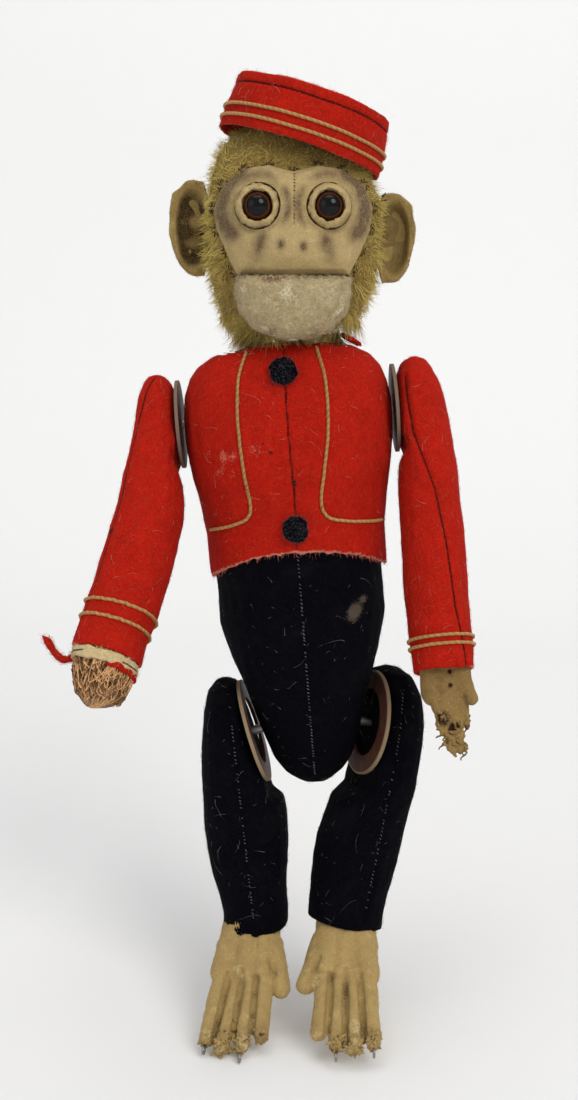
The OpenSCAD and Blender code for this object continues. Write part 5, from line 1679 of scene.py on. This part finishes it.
class MONKEY_OT_face(MonkeyStep):
    """Makes the felt face and muzzle with airbrushed shading, nostrils, eyelids and glass eyes"""

    bl_idname = "monkey.face"
    bl_label = "Face"

    def work(self, context):
        s = sizes()
        c = colours()
        face = recut("face", "felt_face", 0.00040, 7, tan())
        at = points_of(face)
        eyes = {name: middle_of("eye_" + name) for name in ("right", "left")}
        rings = [np.linalg.norm((at - eyes[name]) * [1, 0, 1], axis=1) for name in ("right", "left")]
        near = np.minimum(*rings)
        seam = self.front_line(face, [(0.3, 104.5), (0.2, 86.5)])
        gap = far_from_line(at, [p for p, _ in seam])
        socket = -0.0004 * spot(near - 0.0076, 0.0012)
        front = at[:, 1] < eyes["right"][1] + 0.012
        swell(face, lumps(at, 0.008, 231) * 0.00015, socket * front, -0.00035 * spot(gap, 0.0006))
        mark(face, "seam", 0.55 * spot(gap, 0.0004))
        mark(face, "airbrush_dirt_and_shade", self.airbrush(at, eyes))
        mark(face, "worn", np.clip(lumps(at, 0.006, 232), 0, 1) * 0.25)
        finish_piece(face, "head", "tan_felt", "face", fill=0.5)
        line = self.front_line(face, [(0.3, 104.5), (0.2, 86.0)])
        row = stitched("brow_stitches", line, s.stitch * 0.95, 0.0008, s.thread * 0.85, sewing(), 60, 0.1,
                       seed=233)
        finish_piece(row, "head", "tan_felt")
        fibre = yarn("face fibre", (0.70, 0.58, 0.34), (0.46, 0.34, 0.16))
        finish_piece(fuzz("face_nap", face, 2600, 0.0010, 0.000026, fibre, 234, 0.4), "head", "tan_felt")
        self.muzzle()
        for name in ("right", "left"):
            lid = recut("eyelid_" + name, "felt_eyelid_" + name, 0.00026, 5, tan())
            rim = points_of(lid)
            out = np.linalg.norm((rim - eyes[name]) * [1, 0, 1], axis=1)
            ragged = lumps(rim, 0.0020, 241) * 0.00032 + lumps(rim, 0.0009, 242) * 0.00016
            sink = fade(out, 0.0053, 0.0068) * 0.0007
            put(lid, rim + facing_of(lid) * ragged[:, None] - np.outer(sink, FRONT))
            mark(lid, "airbrush_dirt_and_shade", fade(out, 0.0058, 0.0070) * 0.40 + np.clip(lumps(rim, 0.003, 243), 0,
                    1) * 0.3)
            finish_piece(lid, "head", "tan_felt", "eyelid_" + name)
            low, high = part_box("eye_" + name)
            size = (high.x - low.x) / 2
            eye = frame["nodes"]["eye_" + name]
            eye.data.materials.clear()
            eye.data.materials.append(glass_eye("glass eye " + name, c.iris, eyes[name], size * 0.66, size))
            smooth_node(eye)

    def airbrush(self, at, eyes):
        """Faded shading: a crescent round the outside of each eye, one by the nose, and a patch below."""
        total = np.zeros(len(at))
        for name, way in (("right", -1), ("left", 1)):
            x = (at[:, 0] - eyes[name][0]) * way
            z = at[:, 2] - eyes[name][2]
            reach = np.hypot(x, z)
            turn = np.degrees(np.arctan2(z, x))
            outer = spot(reach - 0.0118, 0.0027) * fade(80 - np.abs(turn - 10), 0, 30)
            upper = spot(reach - 0.0100, 0.0015) * fade(60 - np.abs(turn - 85), 0, 35) * 0.6
            inner = spot(reach - 0.0098, 0.0013) * fade(45 - np.abs(np.abs(turn) - 175), 0, 30) * 0.75
            under = spot(np.hypot((x + 0.0012 + (z + 0.0100) * 0.25) * 1.25, (z + 0.0118) * 0.62),
                         0.0028) * 0.85
            under_ring = spot(reach - 0.0080, 0.0008) * fade(150 - np.abs(turn + 90), 0, 40) * 0.35
            total = np.maximum.reduce([total, outer, upper, inner, under, under_ring])
        for x, z in ((-0.0040, 0.0805), (0.0032, 0.0797)):
            total = np.maximum(total, spot(np.hypot(at[:, 0] - x, (at[:, 2] - z) * 0.8), 0.0013))
        return total * (1.15 + 0.25 * lumps(at, 0.0025, 235)) * (at[:, 1] < 0)

    def front_line(self, piece, rows):
        """The skin's points under a line drawn on the front of the head, in millimetres."""
        tree = tree_of(piece)
        drawn = np.array([(x * MM, 0.0, z * MM) for x, z in rows])
        found = []
        for p in even(drawn, 0.0005):
            hit, facing, _, _ = tree.ray_cast(Vector(p + FRONT * 0.09), Vector(-FRONT))
            if hit is not None:
                found.append((np.array(hit), np.array(facing)))
        return found

    def muzzle(self):
        """The rubbed cream muzzle with its gathered mouth seam."""
        c = colours()
        rubbed = felt("muzzle felt", c.muzzle_felt, fibre=(0.74, 0.66, 0.45, 1),
                      deep=(0.34, 0.25, 0.115, 1),
                      hole_shade_and_stain=(0.20, 0.095, 0.055, 1), seam=(0.15, 0.085, 0.045, 1),
                      worn=(0.72, 0.64, 0.44, 1),
                      sheen=0.10, fibres=0.55, mottle=0.75, soil=0.40, soil_colour=(0.24, 0.165, 0.075, 1),
                      relief=0.8)
        pad = recut("muzzle", "felt_muzzle", 0.00040, 7, rubbed)
        at = points_of(pad)
        top = at[:, 2].max()
        pleat = np.sin(at[:, 0] * 2 * math.pi / 0.0026 + 2.5 * lumps(at, 0.01, 251)) * fade(at[:, 2],
                top - 0.004, top)
        swell(pad, lumps(at, 0.006, 252) * 0.00030, lumps(at, 0.0022, 253) * 0.00016, pleat * 0.00016)
        rust = np.clip(lumps(at, 0.006, 254), 0, 1) * fade(at[:, 2], top - 0.0045, top - 0.0005) * 0.75
        chin = spot(np.hypot(np.abs(at[:, 0]) - 0.007, at[:, 2] - (at[:, 2].min() + 0.002)), 0.003) * 0.5
        mark(pad, "hole_shade_and_stain", np.maximum(rust, chin))
        mark(pad, "worn", np.clip(lumps(at, 0.005, 255), 0, 1) * 0.6)
        mark(pad, "seam", fade(at[:, 2], top - 0.0007, top) * 0.5)
        finish_piece(pad, "head", "muzzle_felt", "muzzle", fill=0.7)
        fibre = yarn("muzzle fibre", (0.74, 0.66, 0.45), (0.42, 0.30, 0.15))
        finish_piece(fuzz("muzzle_nap", pad, 5200, 0.0013, 0.000034, fibre, 256, 0.45), "head",
                     "muzzle_felt")
        face_line = []
        tree = tree_of(pad)
        for x in np.linspace(-0.0182, 0.0182, 90):
            hit, facing, _, _ = tree.ray_cast(Vector((x, BEFORE_TOY, top - 0.0009)), STRAIGHT_BACK)
            if hit is not None:
                face_line.append((np.array(hit), np.array(facing)))
        pale = yarn("muzzle gathering thread", (0.50, 0.40, 0.24), (0.20, 0.12, 0.06))
        row = stitched("mouth_stitches", face_line, 0.0012, 0.0013, 0.00014, pale, 90, 0.1, seed=257,
                       lift=0.0003)
        finish_piece(row, "head", "muzzle_felt")


def smooth_node(node):
    """Soft shading of a frame node's curved faces; its points stay where they are."""
    node.data.polygons.foreach_set("use_smooth", [True] * len(node.data.polygons))
    node.data.update()


class MONKEY_OT_ears(MonkeyStep):
    """Makes the folded felt ears with dark brown painted shade in their hollows, and the loose black thread
    """

    bl_idname = "monkey.ears"
    bl_label = "Ears"

    def work(self, context):
        # The ear felt's darkest colour is the painted shade of the ear hollows
        ear_felt = felt("ear tan felt", (0.36, 0.25, 0.085), fibre=(0.52, 0.40, 0.18, 1),
                        deep=(0.20, 0.125, 0.04, 1),
                        airbrush_dirt_and_shade=(0.035, 0.017, 0.007, 1), seam=(0.040, 0.018, 0.008, 1), sheen=0.1, mottle=0.6,
                        soil=0.45, soil_colour=(0.13, 0.08, 0.03, 1))
        # The third value is how strongly each ear's hollow is painted with shade: full on the right ear,
        # under half on the left
        for k, (name, way, dark) in enumerate((("right", -1, 1.0), ("left", 1, 0.45))):
            ear = recut("ear_" + name, "felt_ear_" + name, 0.00040, 5, ear_felt)
            at = points_of(ear)
            low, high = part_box("ear_" + name)
            mid = np.array((low + high) / 2)
            half = np.array(high - low) / 2
            x = (at[:, 0] - mid[0]) * way / half[0]
            z = (at[:, 2] - mid[2]) / half[2]
            reach = np.hypot(x + 0.15, z)
            cup = fade(0.92 - reach, 0, 0.35)
            facing = facing_of(ear)
            front = fade(-facing[:, 1], 0.1, 0.6)
            rim = spot(reach - 0.86, 0.16)
            folds = lumps(at, 0.007, 261 + k) * 0.0005
            put(ear, at + facing * (folds + rim * 0.0006)[:, None] + np.outer(cup * front, [0, 0.0022, 0]))
            # The pushed-back hollow facing the front is painted dark as shade
            patch = np.clip(0.75 + 0.6 * lumps(at, 0.006, 263 + k), 0, 1)
            mark(ear, "airbrush_dirt_and_shade", np.clip(cup * front * patch * 2.2, 0, 1) * dark)
            mark(ear, "seam", spot(reach - 0.97, 0.05) * 0.35)
            mark(ear, "worn", np.clip(lumps(at, 0.004, 265 + k), 0, 1) * 0.25)
            finish_piece(ear, "head", "tan_felt", "ear_" + name)
            fibre = yarn("ear fibre", (0.46, 0.34, 0.14), (0.22, 0.14, 0.05))
            finish_piece(fuzz(name + "_ear_nap", ear, 900, 0.0011, 0.00003, fibre, 267 + k, 0.4), "head",
                         "tan_felt")
        self.loose_thread()

    def loose_thread(self):
        """A knot of black thread where the left ear is sewn on."""
        low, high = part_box("ear_left")
        knot = np.array([low.x + 0.0012, low.y - 0.0002, high.z - 0.0022])
        pick = np.random.default_rng(271)
        t = np.linspace(0, 1, 9)
        paths = []
        for k in range(9):
            way = pick.normal(0, 1, 3) * [1, 0.3, 0.6]
            way /= np.linalg.norm(way)
            bend = pick.normal(0, 1, 3)
            reach = pick.uniform(0.0012, 0.0042)
            paths.append(knot + np.outer(t * reach, way) + np.outer(t**2 * reach * 0.5, bend))
        black_thread = yarn("black thread", (0.006, 0.005, 0.005), (0.003, 0.003, 0.003))
        piece = threads("ear_thread", paths, 0.00016, black_thread, 5)
        finish_piece(piece, "head", "tan_felt")


class MONKEY_OT_hat(MonkeyStep):
    """Makes the red pillbox hat with its stitched top seam, moth holes and two braids"""

    bl_idname = "monkey.hat"
    bl_label = "Hat"

    def work(self, context):
        s = sizes()
        mid, way = hat_place()
        for node, name in (("hat_band", "felt_hat_band"), ("hat_top", "felt_hat_top")):
            piece = recut(node, name, 0.00050, 8, red())
            at = points_of(piece)
            high = (at - mid) @ way
            top = float(((points_of(frame["nodes"]["hat_band"]) - mid) @ way).max())
            flat = at - mid - np.outer(high, way)
            reach = np.linalg.norm(flat, axis=1)
            lump = lumps(at, 0.013, 281) * 0.00030 + lumps(at, 0.005, 282) * 0.00010
            if node == "hat_band":
                gap = np.abs(high - (top - 0.0034) - 0.0003 * lumps(at, 0.02, 283))
                groove = -0.0005 * spot(gap, 0.0006)
                swell(piece, lump, groove)
                outside = reach > np.median(reach)
                mark(piece, "seam", spot(gap, 0.00040) * 0.9 * outside)
                edge = np.maximum(fade(high, top - 0.0010, top) * 0.45, fade(-high, -0.0009, 0.0) * 0.35)
                mark(piece, "worn", edge)
                band = piece
            else:
                crown = 0.0016 * (1 - (reach / reach.max()) ** 2)
                put(piece, at + np.outer(crown, way) + facing_of(piece) * lump[:, None])
                mark(piece, "worn", fade(reach, reach.max() * 0.93, reach.max()) * 0.4)
            # Moth holes on the hat, painted dark as the shade inside them; the felt is not cut
            holes = np.zeros(len(at))
            across = np.cross(way, FRONT)
            across = across if across[0] > 0 else -across
            for side, front, size in ((0.006, 0.0225, 0.0018), (0.0190, 0.0160, 0.0016),
                                      (0.0215, 0.0120, 0.0018),
                                      (0.0020, 0.0190, 0.0009)):
                hole = mid + way * top + across * side + FRONT * front
                holes = np.maximum(holes, spot(np.linalg.norm(at - hole, axis=1), size))
            mark(piece, "hole_shade_and_stain", holes * 0.95)
            finish_piece(piece, "head", "red_felt", node)
            lint = yarn("red felt fibre", (0.55, 0.045, 0.022), (0.42, 0.10, 0.06), spec=0.1)
            finish_piece(fuzz(name + "_nap", piece, 2600, 0.0016, 0.000030, lint, 284, 0.35), "head",
                         "red_felt")
            pale = yarn("pale lint", (0.62, 0.42, 0.36), (0.45, 0.28, 0.22))
            finish_piece(fuzz(name + "_lint", piece, 90, 0.0045, 0.00003, pale, 286, 0.15), "head",
                         "red_felt")
        core = Core(band, mid + way * (top - 0.0034), mid + way * (top - 0.0024))
        line = []
        for turn in np.linspace(-180, 180, 340):
            point, facing = core.skin(0.0, float(turn))
            if point is not None:
                line.append((point, facing))
        row = stitched("hat_seam_stitches", line, s.stitch * 1.1, 0.0009, s.thread * 0.9, sewing(), 8, 0.04,
                       seed=287)
        finish_piece(row, "head", "red_felt")
        for k, ring in enumerate(islands("hat_cords")):
            path = laid_on(ring_line(ring, 120), band, s.braid * 0.7)
            cord = twisted(f"hat_braid_{k + 1}", path, s.braid, 0.0021, braid(), closed=True)
            if k:
                finish_piece(cord, "head", "gold_braid")
            else:
                finish_piece(cord, "head", "gold_braid", "hat_cords")


class MONKEY_OT_tail(MonkeyStep):
    """Makes the mohair tail and its pile"""

    bl_idname = "monkey.tail"
    bl_label = "Tail"

    def work(self, context):
        c = colours()
        s = sizes()
        ground = felt("mohair backing", (0.27, 0.18, 0.055), fibre=rgba(c.mohair), deep=rgba(c.mohair_dark))
        tail = recut("tail_plush", "mohair_tail", 0.00045, 6, ground)
        at = points_of(tail)
        swell(tail, lumps(at, 0.008, 291) * 0.00025)
        finish_piece(tail, "tail", "mohair", "tail_plush", fill=0.8)
        spots, facing = outer_spots(tail, 3600, 292, None, 0.004)
        MONKEY_OT_head.pile(self, "tail_pile", spots, facing, s.tail_pile, "tail", 293, 0.00006)


class MONKEY_OT_metalwork(MonkeyStep):
    """Finishes the rings, washers, pins, wires, discs, shaft and frame in old steel, enamel and board"""

    bl_idname = "monkey.metalwork"
    bl_label = "Rings, pins and works"

    def work(self, context):
        c = colours()
        bright = metal("bright old steel", c.steel, 0.30, 0.45)
        wire = metal("toe wire steel", (0.30, 0.29, 0.28), 0.22, 0.25)
        tin = metal("tin plate", (0.38, 0.36, 0.33), 0.42, 0.6)
        card = board("fibre board", c.board)
        coats = {
            bright: ["head_shaft", "shaft_collar", "nod_rod", "nod_axle", "shoulder_pins", "hip_pins"],
            wire: ["foot_wires_right", "foot_wires_left"],
            tin: ["frame_tube", "neck_plate", "lower_bearing", "head_bracket", "tail_lever"],
            card: ["shoulder_discs", "hip_discs", "arm_disc_right", "arm_disc_left", "leg_disc_right",
                   "leg_disc_left", "swivel_disc"],
        }
        for name in ("right", "left"):
            ring = "hip_ring_" + name
            axis = np.array(JOINTS["hip_" + name]["axis"])
            paint = enamel("hip ring enamel " + name, c.enamel, (0.26, 0.185, 0.11, 1), middle_of(ring),
                           axis, 0.0183,
                           0.0008)
            coats[paint] = [ring]
            washer = "arm_washer_" + name
            axis = np.array(JOINTS["shoulder_" + name]["axis"])
            rust = enamel("arm washer enamel " + name, (0.055, 0.009, 0.007), (0.17, 0.12, 0.09, 1),
                          middle_of(washer),
                          axis, 0.015, 0.0008)
            coats[rust] = [washer]
        wool = felt("packed wood wool", rgba(c.wood_wool, 0.7)[:3], deep=(0.10, 0.045, 0.018, 1),
                    mottle=0.9, sheen=0.0,
                    fibres=0.7)
        coats[wool] = ["torso_stuffing", "head_stuffing", "stuffing_left", "leg_stuffing_right",
                       "leg_stuffing_left"]
        for material, nodes in coats.items():
            for node in nodes:
                mesh = frame["nodes"][node].data
                mesh.materials.clear()
                mesh.materials.append(material)


STEPS = (
    MONKEY_OT_stage,
    MONKEY_OT_jacket,
    MONKEY_OT_trousers,
    MONKEY_OT_sleeves,
    MONKEY_OT_torn_cuff,
    MONKEY_OT_hand,
    MONKEY_OT_feet,
    MONKEY_OT_head,
    MONKEY_OT_face,
    MONKEY_OT_ears,
    MONKEY_OT_hat,
    MONKEY_OT_tail,
    MONKEY_OT_metalwork,
)


class MONKEY_PT_panel(bpy.types.Panel):
    """The toy's steps, colours and sizes"""

    bl_idname = "MONKEY_PT_panel"
    bl_label = "Monkey toy"
    bl_space_type = "VIEW_3D"
    bl_region_type = "UI"
    bl_category = "Monkey"

    def draw(self, context):
        for step in STEPS:
            self.layout.operator(step.bl_idname)
        for group in (context.scene.monkey_colours, context.scene.monkey_sizes):
            box = self.layout.box()
            for name in group.__annotations__:
                box.prop(group, name)


CLASSES = (MonkeyColours, MonkeySizes) + STEPS + (MONKEY_PT_panel,)


def register():
    """Registers the classes and the scene's colours and sizes."""
    for kind in CLASSES:
        bpy.utils.register_class(kind)
    bpy.types.Scene.monkey_colours = bpy.props.PointerProperty(type=MonkeyColours)
    bpy.types.Scene.monkey_sizes = bpy.props.PointerProperty(type=MonkeySizes)


def unregister():
    """Removes them again."""
    del bpy.types.Scene.monkey_sizes
    del bpy.types.Scene.monkey_colours
    for kind in reversed(CLASSES):
        bpy.utils.unregister_class(kind)


def main():
    """Registers the add-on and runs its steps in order."""
    register()
    for step in STEPS:
        group, name = step.bl_idname.split(".")
        done = getattr(getattr(bpy.ops, group), name)()
        if done != {"FINISHED"}:
            raise RuntimeError(step.bl_label + " did not finish")


if __name__ == "__main__":
    main()
